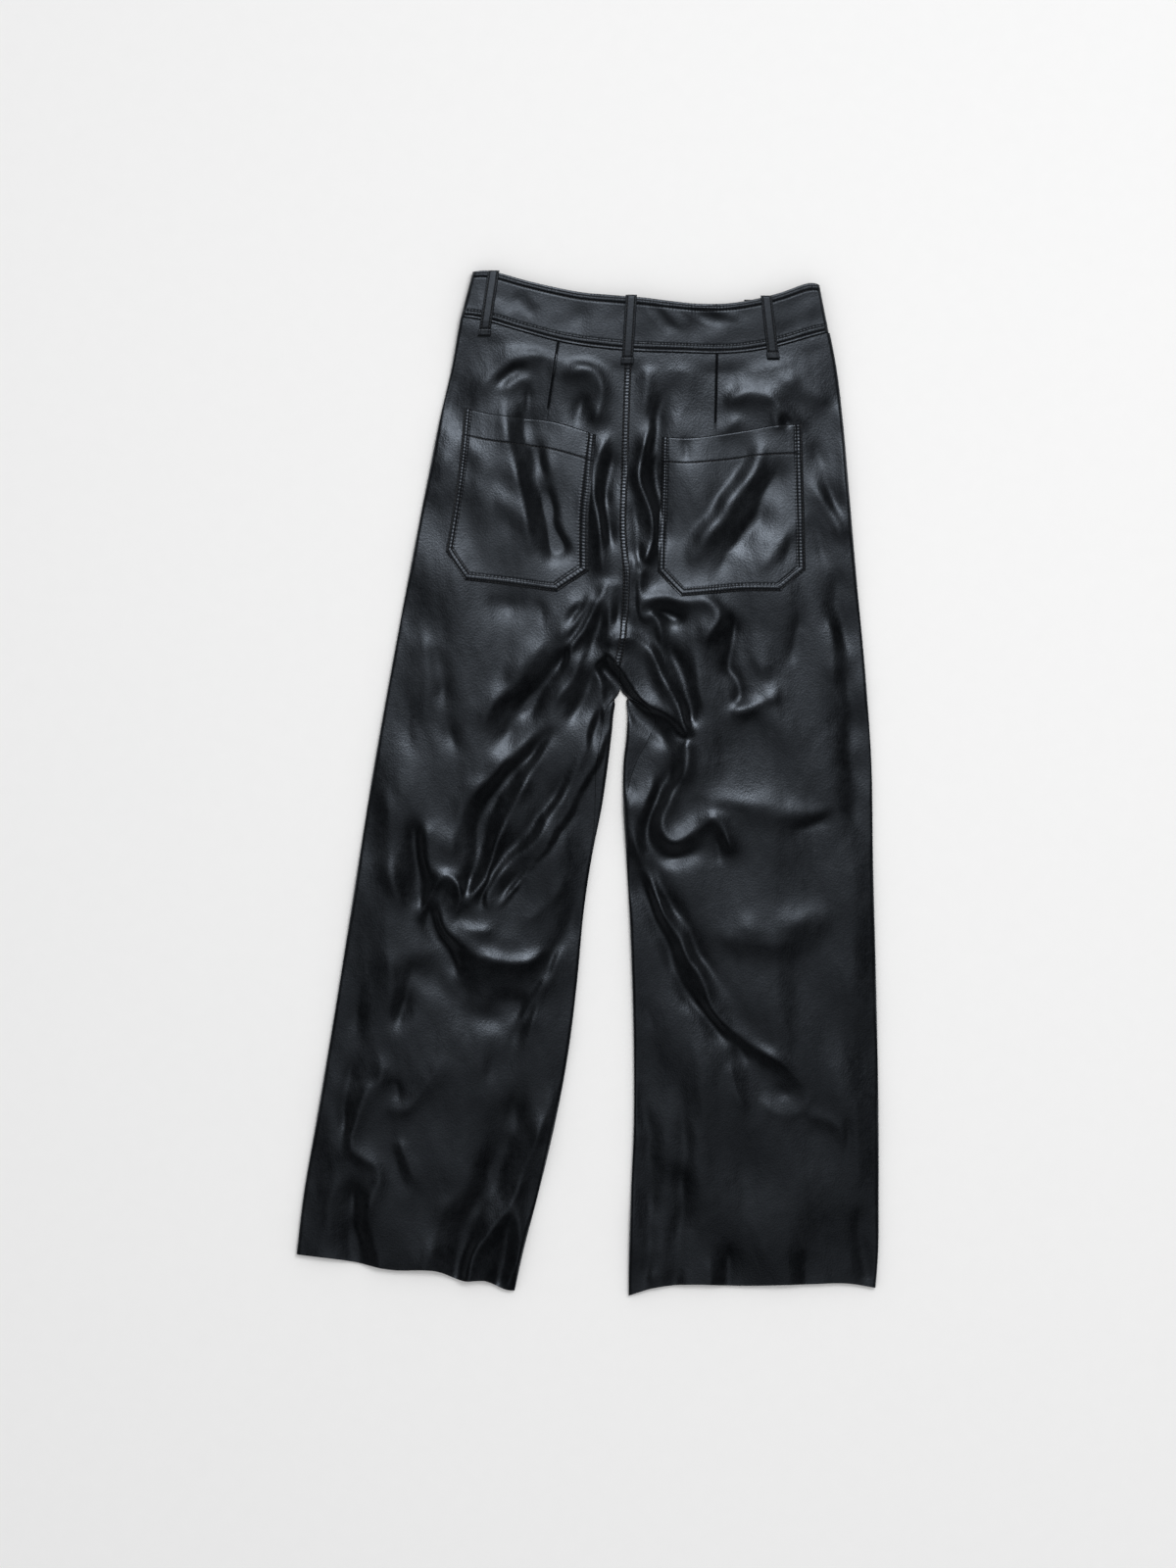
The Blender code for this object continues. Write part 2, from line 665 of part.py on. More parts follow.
def loop(spec, material):
    """Makes a belt loop: a strip down over the band, a little arched off it, with its foot on the panel."""
    t = np.linspace(0.0, 1.0, LOOP_STATIONS)
    x = spec.top_x + t * (spec.foot_x - spec.top_x)
    y = spec.top_y + t * (spec.foot_y - spec.top_y)
    sides = np.array([-0.5, 0.0, 0.5]) * LOOP_WIDTH
    low = np.zeros_like(t)
    if spec.upper:
        side = LEFT if spec.top_x < float(centre(spec.top_y)) else RIGHT
        foot = float(top_z(side, np.array(spec.foot_x), np.array(spec.foot_y)))
        down = np.clip((seam_y(x) - y) / (seam_y(x[-1]) - y[-1]), 0.0, 1.0)
        low = BAND_HEIGHT + LOOP_GAP + LOOP_ARCH * np.sin(np.pi * t) - (BAND_HEIGHT - foot) * down
    grid = strip(x, y, low, sides)
    raised = grid + (0.0, 0.0, LOOP_THICK)
    wall(spec.name, raised, grid, cell_triangles(*grid.shape[:2]), material)


def zip_tape(material):
    """Makes the zip's tape, on the inside of the two fronts."""
    y = np.linspace(ZIP_TOP, ZIP_BOTTOM, ZIP_STATIONS)
    rise = ease(y, ZIP_RISE_START, ZIP_RISE_END)
    flat, raised = LEATHER + ZIP_GAP, BAND_FLOOR + DOUBLED + ZIP_GAP
    low = flat + (raised - flat) * rise
    sides = np.array([-0.5, 0.5]) * ZIP_WIDTH
    grid = strip(centre(y), y, low, sides)
    wall("zip_tape", grid + (0.0, 0.0, ZIP_THICK), grid, cell_triangles(*grid.shape[:2]), material)


def zip_slider(material):
    """Makes the zip's slider above the tape, with its pull turned down over the tape."""
    low = BAND_FLOOR + DOUBLED + ZIP_GAP
    pull = low + ZIP_THICK + ZIP_GAP
    profile = (
        (SLIDER_TOP, low),
        (SLIDER_TOP, low + SLIDER_HEIGHT),
        (SLIDER_FOOT, low + SLIDER_HEIGHT),
        (SLIDER_FOOT, pull + PULL_THICK),
        (PULL_FOOT, pull + PULL_THICK),
        (PULL_FOOT, pull),
        (SLIDER_FOOT, pull),
        (SLIDER_FOOT, low),
    )
    half = SLIDER_WIDTH / 2
    middle = float(centre(SLIDER_FOOT))
    count = len(profile)
    points = [(middle + s * half, y, z) for s in (-1, 1) for y, z in profile]
    faces = []
    for k in range(count):
        a, b = k, (k + 1) % count
        faces += [(a, b, a + count), (b, b + count, a + count)]
    caps = ((0, 1, 2), (0, 2, 7), (2, 6, 7), (2, 3, 6), (3, 5, 6), (3, 4, 5))
    faces += [tuple(reversed(cap)) for cap in caps]
    faces += [tuple(i + count for i in cap) for cap in caps]
    make("zip_slider", points, faces, material)


def main():
    """Builds the trousers."""
    for old in list(bpy.data.objects):
        bpy.data.objects.remove(old, do_unlink=True)
    leather = finish("black leather", (0.012, 0.012, 0.015), 0.38)
    band_leather = finish("band leather", (0.014, 0.014, 0.017), 0.38)
    pocket_leather = finish("pocket leather", (0.013, 0.013, 0.016), 0.37)
    loop_leather = finish("loop leather", (0.015, 0.015, 0.018), 0.40)
    tape = finish("zip tape", (0.02, 0.02, 0.02), 0.85)
    metal = finish("zip slider", (0.35, 0.35, 0.36), 0.35, 1.0)
    for side, label, pocket in ((LEFT, "left", LEFT_POCKET), (RIGHT, "right", RIGHT_POCKET)):
        back_and_pocket(side, label, pocket, leather, pocket_leather)
        front(side, label, pocket, leather)
    left_end, right_end = WAISTS[0].seam_x, WAISTS[-1].seam_x
    front_middle = float(centre(450.0))
    band_piece("waistband_back", left_end, right_end, True, band_leather)
    band_piece("waistband_front_left", left_end, front_middle - SEAM_GAP / 2, False, band_leather)
    band_piece("waistband_front_right", front_middle + SEAM_GAP / 2, right_end, False, band_leather)
    for spec in LOOPS:
        loop(spec, loop_leather)
    zip_tape(tape)
    zip_slider(metal)


main()
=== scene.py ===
"""Looks of cropped wide-leg leather trousers that lie flat with the back up.

Each cut piece is a thin shell of leather on the form of its solid, made much finer: the sections of the
two legs, the folds as soft ridges and troughs, turned edges, seams with their rows of stitches and the
small puckers between them. X runs across with the wearer's left at -X, Y runs towards the waist, and Z
runs up from the surface that the garment lies on. Shapes are worked out in millimetres and put into the
meshes in metres.
"""

import logging
import math
from collections.abc import Callable, Sequence
from dataclasses import dataclass, field
from enum import Enum
from functools import cached_property

import bpy
import numpy as np
from numpy.typing import NDArray
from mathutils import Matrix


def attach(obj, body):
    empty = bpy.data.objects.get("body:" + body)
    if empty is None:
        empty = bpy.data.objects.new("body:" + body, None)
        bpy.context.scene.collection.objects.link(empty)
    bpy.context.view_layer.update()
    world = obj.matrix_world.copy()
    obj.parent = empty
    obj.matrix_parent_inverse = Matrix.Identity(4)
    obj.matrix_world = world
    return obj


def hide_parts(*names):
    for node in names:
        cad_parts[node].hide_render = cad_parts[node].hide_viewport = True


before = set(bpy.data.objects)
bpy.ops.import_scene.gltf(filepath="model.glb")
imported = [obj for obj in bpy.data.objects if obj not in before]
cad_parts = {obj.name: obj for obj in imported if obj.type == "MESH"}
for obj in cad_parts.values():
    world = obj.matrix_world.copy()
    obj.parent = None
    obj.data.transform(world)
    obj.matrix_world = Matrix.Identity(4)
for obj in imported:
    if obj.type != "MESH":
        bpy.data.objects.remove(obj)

Array = NDArray[np.float64]
Place = Callable[[Array], Array]
Pair = tuple[float, float]
Triple = tuple[float, float, float]

LOG = logging.getLogger("trousers")
MM = 0.001
BODY = "root"


class Side(Enum):
    """A side of the garment, by the sign of X."""

    LEFT = -1
    RIGHT = 1

    @property
    def label(self) -> str:
        """The side's word in the names of nodes."""
        return self.name.lower()


class Crest(Enum):
    """How a fold looks across its line."""

    ROUND = "round"
    SHARP = "sharp"
    CLIFF = "cliff"


class Layer(Enum):
    """Which of the two layers of the garment a piece belongs to."""

    UPPER = "upper"
    LOWER = "lower"


def ease(x: Array | float, low: float, high: float) -> Array:
    """Goes smoothly from 0 at low to 1 at high, as 3t^2 - 2t^3."""
    t = np.clip((np.asarray(x, float) - low) / (high - low), 0.0, 1.0)
    return t * t * (3 - 2 * t)


def unit(vectors: Array) -> Array:
    """Vectors scaled to length 1, with none divided by nothing."""
    return vectors / np.maximum(np.linalg.norm(vectors, axis=-1, keepdims=True), 1e-9)


def bell(distance: Array, width: float) -> Array:
    """A bell: e to the power of minus the square of distance over width."""
    return np.exp(-((distance / width) ** 2))


def quarter(distance: Array | float, width: float) -> Array:
    """Goes from 0 at an edge to 1 a width in from it, as a quarter of an ellipse."""
    t = np.clip(distance / width, 0.0, 1.0)
    return np.sqrt(1.0 - (1.0 - t) ** 2)


def worn(distance: Array, most: float, reach: float) -> Array:
    """How rubbed a place is: the most at an edge, times e to the power of minus distance over reach."""
    return most * np.exp(-distance / reach)


def run_along(points: Array) -> Array:
    """Length run along a line at each of its points."""
    return np.concatenate([[0.0], np.cumsum(np.linalg.norm(np.diff(points, axis=0), axis=1))])


@dataclass(frozen=True)
class Curve:
    """A smooth curve through pairs of key and value, with each slope taken from its neighbours."""

    pairs: tuple[Pair, ...]

    def __call__(self, x: Array | float) -> Array:
        """Reads the curve, as a cubic through the two nearest pairs and their slopes.

        Args:
            x: Keys, held between the first and the last.

        Returns:
            The value at each key.
        """
        keys, values = np.array(sorted(self.pairs), float).T
        slopes = np.gradient(values, keys)
        x = np.clip(np.asarray(x, float), keys[0], keys[-1])
        i = np.clip(np.searchsorted(keys, x) - 1, 0, len(keys) - 2)
        step = keys[i + 1] - keys[i]
        t = (x - keys[i]) / step
        start = (1 + 2 * t) * (1 - t) ** 2 * values[i] + t * (1 - t) ** 2 * step * slopes[i]
        end = t * t * (3 - 2 * t) * values[i + 1] + t * t * (t - 1) * step * slopes[i + 1]
        return start + end


def columns_at(keys: Array, rows: Sequence[Sequence[float]] | Array, at: Array) -> Array:
    """Reads each column of a table as a curve over the keys of its rows."""
    return np.stack([Curve(tuple(zip(keys, column)))(at) for column in np.array(rows, float).T], -1)


def path_through(points: Sequence[Pair] | Array, step: float = 2.0) -> Array:
    """Points about a step apart on a smooth line through the given ones.

    Each coordinate is a cubic in the length run along the given points.

    Args:
        points: At least two places on the line.
        step: Distance between the points that come back.

    Returns:
        The line's points, one a row.
    """
    run = run_along(np.array(points, float))
    count = max(int(run[-1] / step), 4)
    return columns_at(run, points, np.linspace(0.0, run[-1], count + 1))


def _less_neighbours(firm: Array, height: Array) -> Array:
    """Gives firm * h less the Laplacian of h, with h nought beyond the net.

    Args:
        firm: How firmly each place is held.
        height: The heights h.

    Returns:
        The result at each place.
    """
    total = (firm + 4.0) * height
    total[1:] -= height[:-1]
    total[:-1] -= height[1:]
    total[:, 1:] -= height[:, :-1]
    total[:, :-1] -= height[:, 1:]
    return total


@dataclass(frozen=True)
class Fold:
    """One ridge or trough.

    Strokes holds x and y in turn, of the place where its line starts and of each step on from there.
    Left and right are its widths on the two sides of it, seen on going along it. Start and end are the
    shares of its length over which it rises and fades.
    """

    strokes: tuple[float, ...]
    left: float
    right: float
    height: float
    start: float = 0.3
    end: float = 0.3
    crest: Crest = Crest.ROUND

    @property
    def line(self) -> Array:
        """The places its line runs through, one a row."""
        return np.cumsum(np.reshape(np.array(self.strokes, float), (-1, 2)), axis=0)

    def place(self, x: Array, y: Array) -> tuple[Array, Array]:
        """Finds how far over to its sides and along it the places lie.

        Args:
            x: Places across.
            y: Places along.

        Returns:
            The distance from its line as a share of the width there, positive to its left, and the
            share of it that is there after its rise and fading.
        """
        line = path_through(self.line)
        starts, steps = line[:-1], np.diff(line, axis=0)
        lengths = np.linalg.norm(steps, axis=1)
        ahead = steps / lengths[:, None]
        run = run_along(line)
        best = np.full(x.shape, np.inf)
        signed, along = np.zeros_like(x), np.zeros_like(x)
        for k in range(len(starts)):
            from_x, from_y = x - starts[k, 0], y - starts[k, 1]
            forward = np.clip(from_x * ahead[k, 0] + from_y * ahead[k, 1], 0.0, lengths[k])
            away_x, away_y = from_x - forward * ahead[k, 0], from_y - forward * ahead[k, 1]
            distance = np.hypot(away_x, away_y)
            nearer = distance < best
            best = np.where(nearer, distance, best)
            side = np.where(ahead[k, 0] * away_y - ahead[k, 1] * away_x >= 0, 1.0, -1.0)
            signed = np.where(nearer, side * distance, signed)
            along = np.where(nearer, run[k] + forward, along)
        across = signed / np.where(signed >= 0, self.left, self.right)
        t = along / run[-1]
        fade = ease(t, 0.0, self.start) if self.start > 0 else np.ones_like(t)
        return across, fade * ease(1.0 - t, 0.0, self.end) if self.end > 0 else fade

    def share(self, x: Array, y: Array) -> Array:
        """Share of its height at each place, falling as the square of a cosine to its sides."""
        across, fade = self.place(x, y)
        return np.cos(np.clip(across, -1.0, 1.0) * np.pi / 2) ** 2 * fade


SHARP, CLIFF = Crest.SHARP, Crest.CLIFF
Waves = tuple[tuple[float, float, int, float], ...]

FOLDS: tuple[Fold, ...] = (
    # Left hip and seat
    Fold((-106, 362, 3, 16, 8, 16, 16, 11, 22, 8, 22, -1), 13, 12, 3.8, 0.25, 0.2),
    Fold((-88, 382, 13, 16, 21, 5), 9, 9, -1.6),
    Fold((-83, 372, 7, 13, 13, 6, 14, -4), 8, 9, 2.2),
    Fold((-56, 387, -1, -15, 0, -21), 4.5, 5, -4, 0.3, 0, SHARP),
    Fold((-125, 400, -6, -20, -6, -29), 9, 9, -2),
    Fold((-135, 357, -5, -44, -7, -51), 13, 9, 2, 0.2),
    Fold((-30, 391, 15, 6, 15, 2, 10, -5, 4, -12, -3, -18, -8, -21), 9, 9, 4.4, 0.2, 0.2),
    Fold((0, 381, -7, -19, -6, -20), 9, 9, -2.8, 0.3, 0.2),
    Fold((26, 345, -11, -21, -7, -24, -1, -25, 4, -25, 4, -28, 2, -27), 6, 7, 3.8, 0.2, 0.15, SHARP),
    Fold((28, 334, -8, -25, -2, -32, 2, -30, 5, -29), 7, 5, -5.2, 0.25, 0.2),
    Fold((24, 203, -6, -11, -5, -15, -9, -10, -7, -13, -5, -10, -7, -12, -6, -18, -9, -17), 6, 6, 4.2, 0.12,
         crest=SHARP),
    Fold((33, 196, -7, -7, -3, -10, 1, -10, -2, -13, -3, -13, -5, -14), 5, 5, 3, 0.1, 0.2, SHARP),
    Fold((11, 184, -12, -10, -9, -12, -8, -14, -7, -11), 5, 5, 3, 0.2, 0.2, SHARP),
    Fold((-2, 181, -13, -8, -9, -11, -2, -15, 1, -10), 5, 5, 2.2, 0.3, 0.1, SHARP),
    Fold((17, 174, -5, -19, -8, -20, -9, -21), 6, 6, -4.4, 0.25),
    Fold((7, 176, -9, -13, -8, -14, -11, -16), 4, 4, -2.8, 0.25, 0.2),
    Fold((-3, 176, -10, -10, -7, -14), 5, 5, -2.6),
    Fold((31, 186, 0, -19, -3, -17), 4, 4, -3),
    Fold((-85, 381, 5, -28, 5, -26, 7, -28, 6, -29, 6, -28, 4, -26), 10, 14, 4.4, 0.25, 0.2),
    Fold((-110, 353, 8, -29, 7, -28, 8, -29, 6, -28), 22, 32, 4, 0.3, 0.35),
    Fold((-64, 383, 2, -26, 5, -23, 8, -27, 7, -26, 6, -27, 4, -25, 1, -24), 26, 12, -6.8, 0.25, 0.15),
    Fold((-42, 336, 5, -29, 2, -22, 6, -19, 5, -22, 10, -18, 8, -16), 11, 12, 0.9),
    # Right seat, hip and pocket
    Fold((82, 395, -10, -30, -6, -31, -5, -30), 8, 9, -3.6),
    Fold((58, 416, -1, -36, -4, -35), 10, 9, 2.2, 0.3, 0.4),
    Fold((65, 356, -9, -30, -4, -28, 5, -25, 7, -17, 2, -15, -5, -15, -7, -14), 6, 10, 5.2, 0.25, 0.05,
         SHARP),
    Fold((43, 285, 3, -29, 2, -25, 3, -21), 5, 6, -3.6, 0.4, 0.2),
    Fold((71, 337, -4, -33, 4, -31, 4, -31, -9, -32), 6, 6, -4.6, 0.3, 0.2),
    Fold((85, 402, -1, -21, 0, -30), 4, 5, -1.6, 0.4, 0.2, SHARP),
    Fold((127, 333, 7, 10, 12, 8, 12, 5), 8, 9, 3, 0.2, 0.4),
    Fold((127, 364, 14, 8, 16, 4, 15, -2, 13, -10, 18, -13, 16, -10), 10, 10, 4.2, 0.2),
    Fold((176, 368, 5, -11, 4, -14), 4.5, 5, 2.4, 0.3, 0.1, SHARP),
    Fold((190, 357, 6, -12), 7, 6, -2, 0.4),
    Fold((177, 394, 25, -8, 21, -11, 17, -14), 12, 12, 3),
    Fold((213, 338, 10, -23, 11, -30, 11, -38), 8, 9, -3.2),
    Fold((240, 383, 5, -32, 4, -38, 5, -47, 2, -38), 6, 8, 2.4, 0.2),
    Fold((215, 298, 11, -23, 14, -25, 11, -22), 9, 9, 2.4),
    Fold((213, 266, 11, -27, 10, -40), 9, 9, -2, 0.4, 0.4),
    Fold((160, 342, -6, -19, -15, -27, -19, -28, -23, -26, -19, -20), 9, 14, -1.7, 0.25),
    Fold((175, 349, -8, -33, -16, -30, -17, -23, -18, -25, -15, -21, -15, -14), 13, 15, 4.4, 0.3, 0.25),
    Fold((192, 321, -12, -23, -10, -21, -12, -23, -14, -22, -14, -18, -10, -15), 32, 8, -4.2, 0.2,
         crest=SHARP),
    Fold((215, 266, -19, -23, -17, -21, -15, -19), 14, 12, 1.4, 0.3, 0.25),
    Fold((196, 247, -2, -21, -4, -21), 7, 9, -1.2),
    Fold((92, 335, 2, -12, 2, -16), 6, 5, -2.2, 0.1, 0.4),
    # Crotch
    Fold((15, 124, 7, -6, 6, -6, 7, -10, 10, -13, 14, -12, 14, -12, 14, -12, 12, -11), 12, 5, 3.6, 0.03,
         0.03, CLIFF),
    Fold((14, 128, 9, 9, 10, 4, 6, 0, 10, -4, 11, -8, 7, -9, 3, -8, 5, -14, 11, -22, 12, -31), 6, 9, 4.8,
         0.1, 0.03, SHARP),
    Fold((72, 144, 11, -19, 8, -21, 6, -25, 4, -28), 8, 8, -4.6, 0.25, 0.1),
    Fold((8, 108, 1, 7, 4, 6, 4, 2, 6, -4), 3, 3, 3, 0.2, 0.2, SHARP),
    Fold((9, 112, 5, -15, 1, -18, 1, -21), 4, 3, 2.4, 0.1, crest=SHARP),
    Fold((44, 225, 2, -12, -2, -14, -2, -17, 2, -19, 5, -16), 4, 4, 3, 0.15, crest=SHARP),
    Fold((49, 205, -2, -19, -1, -19, 5, -19), 3, 3, -3.4),
    Fold((54, 211, -2, -18, -3, -17, 0, -9, 3, -7, 5, -1, 6, 5, 4, -4, 3, -9, 2, -13, 5, -15), 4, 5, 4.4,
         0.06, crest=SHARP),
    Fold((53, 165, 2, 8, 7, 6, 12, 2, 21, -4, 15, -1, 11, -3, 6, -8, -5, -14, -13, -14, -15, -9), 9, 9, 5.2,
         0.08, 0.25),
    Fold((62, 168, 18, -5, 19, -7), 9, 10, -6.8, 0.2, 0.35),
    Fold((61, 152, 8, -21, 7, -19), 5, 5, -3),
    Fold((12, 114, 9, -10, 12, -15, 11, -15, 11, -15, 14, -12, 17, -11), 9, 6, -8, 0.04, 0.25, SHARP),
    Fold((10, 116, 4, -5, 6, -8), 6, 6, -9, 0.1, 0.2),
    Fold((99, 152, 5, -27, 4, -30, 5, -29), 7, 7, 2),
    # Left thigh
    Fold((-104, 180, 24, -6, 27, -2), 9, 18, -2.2, 0.4, 0.4),
    Fold((-48, 178, 5, -19, 4, -13), 5, 4, -2, 0.25, 0.5),
    Fold((20, 96, -6, -22, -7, -23, -9, -21), 6, 6, -4.5, 0.2),
    Fold((-141, 117, 3, -37, 5, -29, 10, -34), 9, 8, -3.2),
    Fold((-32, 152, -18, -26, -24, -30, -17, -20, -12, -18, -7, -17), 14, 12, 3.8, 0.32),
    Fold((-159, 163, 4, -59, -5, -59), 10, 10, 1.4),
    Fold((-146, 137, 6, -44, 4, -42), 8, 8, -1.8),
    Fold((-171, 95, -4, -54, 8, -45), 8, 8, -1.3),
    Fold((-7, 142, -24, -33, -25, -30, -15, -21, -12, -17, -10, -14), 12, 10, -6, 0.2),
    Fold((4, 136, -21, -36, -18, -32), 8, 8, 2.4, 0.25, crest=SHARP),
    Fold((11, 115, -11, -24, -12, -23, -13, -21), 8, 10, -3.6),
    Fold((-36, 68, -30, -34, -31, -31, -24, -26, -8, -25, 0, -44), 12, 13, 3.4, 0.35, 0.2),
    Fold((-23, 63, -28, -30, -27, -29, -20, -27, -7, -30, -5, -23, -7, -24, -4, -18), 13, 7, -6, 0.2, 0.15),
    Fold((-32, 49, -22, -38, -15, -25, -17, -40, -13, -38, -13, -21, -13, -20), 6, 9, 3, 0.2, 0.1, SHARP),
    Fold((-91, -130, 13, 17, 17, 22, 17, 21, 19, 27, 14, 24, 11, 19, 12, 29, 10, 31), 6, 4, 3.6, 0.12, 0.1,
         CLIFF),
    Fold((-129, -109, -1, -13, 3, -13, 13, -7, 15, 0, 15, 3), 7, 7, 2.8, 0.15, 0.25, SHARP),
    # Left knee and shin
    Fold((-221, -181, -1, -38, 2, -44), 7, 8, -2.5),
    Fold((-39, -171, -9, -29, -13, -18, -11, -26), 7, 7, 3, 0.3, 0.4, SHARP),
    Fold((-205, 15, 11, -36, 2, -44, 5, -36, 12, -31), 12, 13, 3, 0.3, 0.25),
    Fold((-170, -21, 4, -44, 4, -35, 11, -33, 13, -25, 8, -19, 5, -23), 13, 10, -6.6, 0.25, 0.15),
    Fold((-155, -33, -2, -38, 5, -24), 12, 12, 2.4, 0.3, 0.1),
    Fold((-158, -130, 3, 21, 9, 14, 12, 7, 9, -8, 2, -18, -3, -21), 6, 6, 4.6, 0.12, 0.12, SHARP),
    Fold((-141, -94, -2, -19, 4, -19, 8, -16, 12, -11, 16, -9, 16, -4, 18, -1, 13, 2, 11, 7, 6, 9), 10, 14,
         5, 0.32, 0.2, SHARP),
    Fold((-152, -154, 12, -21, 13, -19, 20, -15, 25, -4, 26, 5, 18, 16), 12, 42, -3.9, 0.2, 0.25),
    Fold((-137, -156, 14, -15, 17, -9, 19, -5, 21, 0, 17, 7), 4, 5, 1.2, 0.25),
    Fold((-85, -139, 4, -10, 10, -4, 14, 0), 6, 7, 1.3),
    Fold((-103, -128, 3, 21, 9, 24, 24, 25, 20, 24, 17, 26, 14, 30), 8, 6, -3.6, 0.1, 0.2),
    Fold((-95, -128, -2, 17, 12, 24, 26, 25, 20, 24, 16, 28, 15, 31, 11, 34, 9, 34), 5, 8, 2.6, 0.06, 0.25,
         SHARP),
    Fold((-87, -123, 13, 23, 24, 24, 18, 22, 15, 25, 13, 27), 8, 5, -3.2, 0.15),
    Fold((-72, -141, 21, 14, 21, 24, 15, 27), 6, 7, 1.8, 0.3, 0.4),
    Fold((-7, -94, -8, -39, -17, -34, -16, -29, -15, -27, -12, -48, -9, -35), 8, 9, -3.2, 0.2),
    Fold((-21, -152, -17, -38, -14, -35, -9, -41), 7, 7, 1.8, crest=SHARP),
    Fold((-194, -122, 2, -49, 1, -48, 2, -19), 9, 9, 1.4, 0.3, 0.4),
    Fold((-165, -164, -9, -34, -7, -30, -5, -19), 9, 9, -5, 0.25, 0.25),
    Fold((-144, -238, 4, -38, -10, -38), 9, 9, 1.4, 0.3, 0.4),
    Fold((-90, -238, -5, -38, -11, -38), 8, 8, -1.4, 0.3, 0.4),
    # Left hem
    Fold((-227, -253, -4, -32, -5, -38, 1, -38), 7, 9, -4.2),
    Fold((-201, -255, 1, -32, -13, -10, -7, -14, -8, -20, 1, -21, 11, -11, 12, -10, 1, -12, -8, -14, -3, -15,
         5, -22, 8, -34), 11, 7, 2.8, 0.14, 0, SHARP),
    Fold((-142, -249, -4, -25, -14, -21, -17, -18, -16, -4, -12, -5), 7, 8, 2.2, 0.25),
    Fold((-190, -284, 6, -13, -2, -11), 7, 7, -2.8),
    Fold((-184, -341, 9, -21, 13, -39), 5, 6, 2, 0.2, 0.4, SHARP),
    Fold((-191, -348, 9, -23, 11, -30), 5, 5, -2, 0.3, 0.4),
    Fold((-29, -276, -13, -46, -14, -39, -15, -38, -16, -24, -18, -26, -11, -32), 7, 9, 3.4, 0.2, 0, SHARP),
    Fold((-71, -399, 6, -25, -4, -32, -7, -32), 5, 6, 3, 0.1, 0, SHARP),
    Fold((-77, -424, -5, -25, -8, -34), 6, 6, -2.6, 0.3, 0),
    Fold((-123, -390, -23, -34, -10, -50), 12, 12, 2.2, 0.3, 0),
    Fold((-228, -371, 2, -38, 4, -59), 8, 11, -5.5, 0.3, 0),
    Fold((-73, -415, -5, -24, -7, -42), 6, 7, -2.5, 0.3, 0),
    Fold((-55, -278, -20, -55, -15, -47, -22, -48, -13, -47), 15, 19, -5.2, 0.3, 0),
    Fold((-242, -371, -7, -38, -3, -43), 9, 9, 2.2, 0.3, 0.2),
    # Right thigh and knee
    Fold((141, 169, 0, -27, -1, -15, -3, -14, 8, -17, 0, -12, -6, -10), 3.5, 4, -5.2, 0.2, 0.1, SHARP),
    Fold((135, 70, 17, -1, 15, 7, 16, 9, 3, 23), 14, 8, 3.8, 0.15, 0.4),
    Fold((158, 152, 9, -31, 8, -28), 16, 16, 2.2, 0.4, 0.4),
    Fold((234, 231, 9, -60, 8, -67, 4, -66, 4, -67, 5, -66), 13, 10, -3.5, 0.2),
    Fold((202, 178, 4, -21, -5, -21, -5, -32), 5, 6, -2.4),
    Fold((152, 104, 29, -38, 21, -47), 14, 14, 1.4),
    Fold((230, 163, 8, -34, 3, -40), 6, 7, 1.6),
    Fold((95, -18, 38, 0, 29, -5, 30, -5, 29, -1, 28, 15), 16, 16, 2.4, 0.25),
    Fold((99, -31, 17, 4, 21, 0, 21, -6), 6, 8, 1.8, 0.3, 0.4),
    Fold((194, -46, 27, 8, 22, 17), 10, 9, -2, 0.4, 0.4),
    Fold((109, -143, 34, -3, 38, -6, 38, 18, 24, 21), 28, 18, 3.4, 0.25),
    Fold((69, 13, -6, -13, -6, -16, -5, -22), 7, 8, 3, 0.4),
    Fold((59, 49, -8, -21, -8, -21, -5, -22), 3, 3, -1.6, 0.2, 0.2, SHARP),
    Fold((99, 43, -2, -9, -3, -17, -7, -17, -8, -21, -6, -18, 1, -9, 7, -8, 12, 3, 15, 9, 13, 9, 9, -3, 6,
         -14, 3, -13, -4, -15), 9, 9, 4.8, 0.03, 0.12, SHARP),
    Fold((85, 24, -5, -15, -10, -18, -9, -22, -2, -21, 9, -16, 20, -4, 19, 11, 13, 13), 8, 9, -5.2, 0.15,
         0.25),
    Fold((121, -48, 6, -15, -2, -19), 6, 5, -2.8),
    Fold((114, 28, -7, -28, -6, -25), 10, 10, 2),
    # Right shin and hem
    Fold((45, -6, -5, -19, 3, -23, 7, -21, 8, -25), 5, 7, 3.8, 0.2, 0.4),
    Fold((44, -63, 6, -27, 14, -34, 14, -34, 18, -41, 18, -24, 14, -18, 15, -16), 8, 9, -5.2, 0.2, 0.12),
    Fold((57, -63, 8, -21, 13, -26, 16, -26, 13, -25, 10, -20, 12, -19, 17, -23), 7, 7, -4.8, 0.15, 0.4),
    Fold((52, -76, 5, -10, 16, -36, 16, -29, 14, -24, 9, -20, 11, -27, 19, -18, 28, -21, 29, -20, 12, -15,
         -3, -17), 7, 6, 3.8, 0.15, 0.2, SHARP),
    Fold((141, -244, 9, -15, 10, -15), 8, 9, -3.5, 0.3, 0.4),
    Fold((162, -293, 14, -21, 18, -7, 17, 7, 3, 14, -11, 14), 6, 6, 1.8),
    Fold((179, -289, 17, -15), 11, 11, -2),
    Fold((194, -324, 29, 2, 19, -10, 6, -14, 0, -31), 8, 8, 1.8),
    Fold((134, -268, 10, -25, 12, -29), 3, 6, 1.8, crest=SHARP),
    Fold((54, -200, 5, -28, 6, -19), 4, 5, -1.8, 0.4, 0.4),
    Fold((49, -272, 10, -61, 3, -66, -5, -92), 9, 8, -3.8, 0.3, 0),
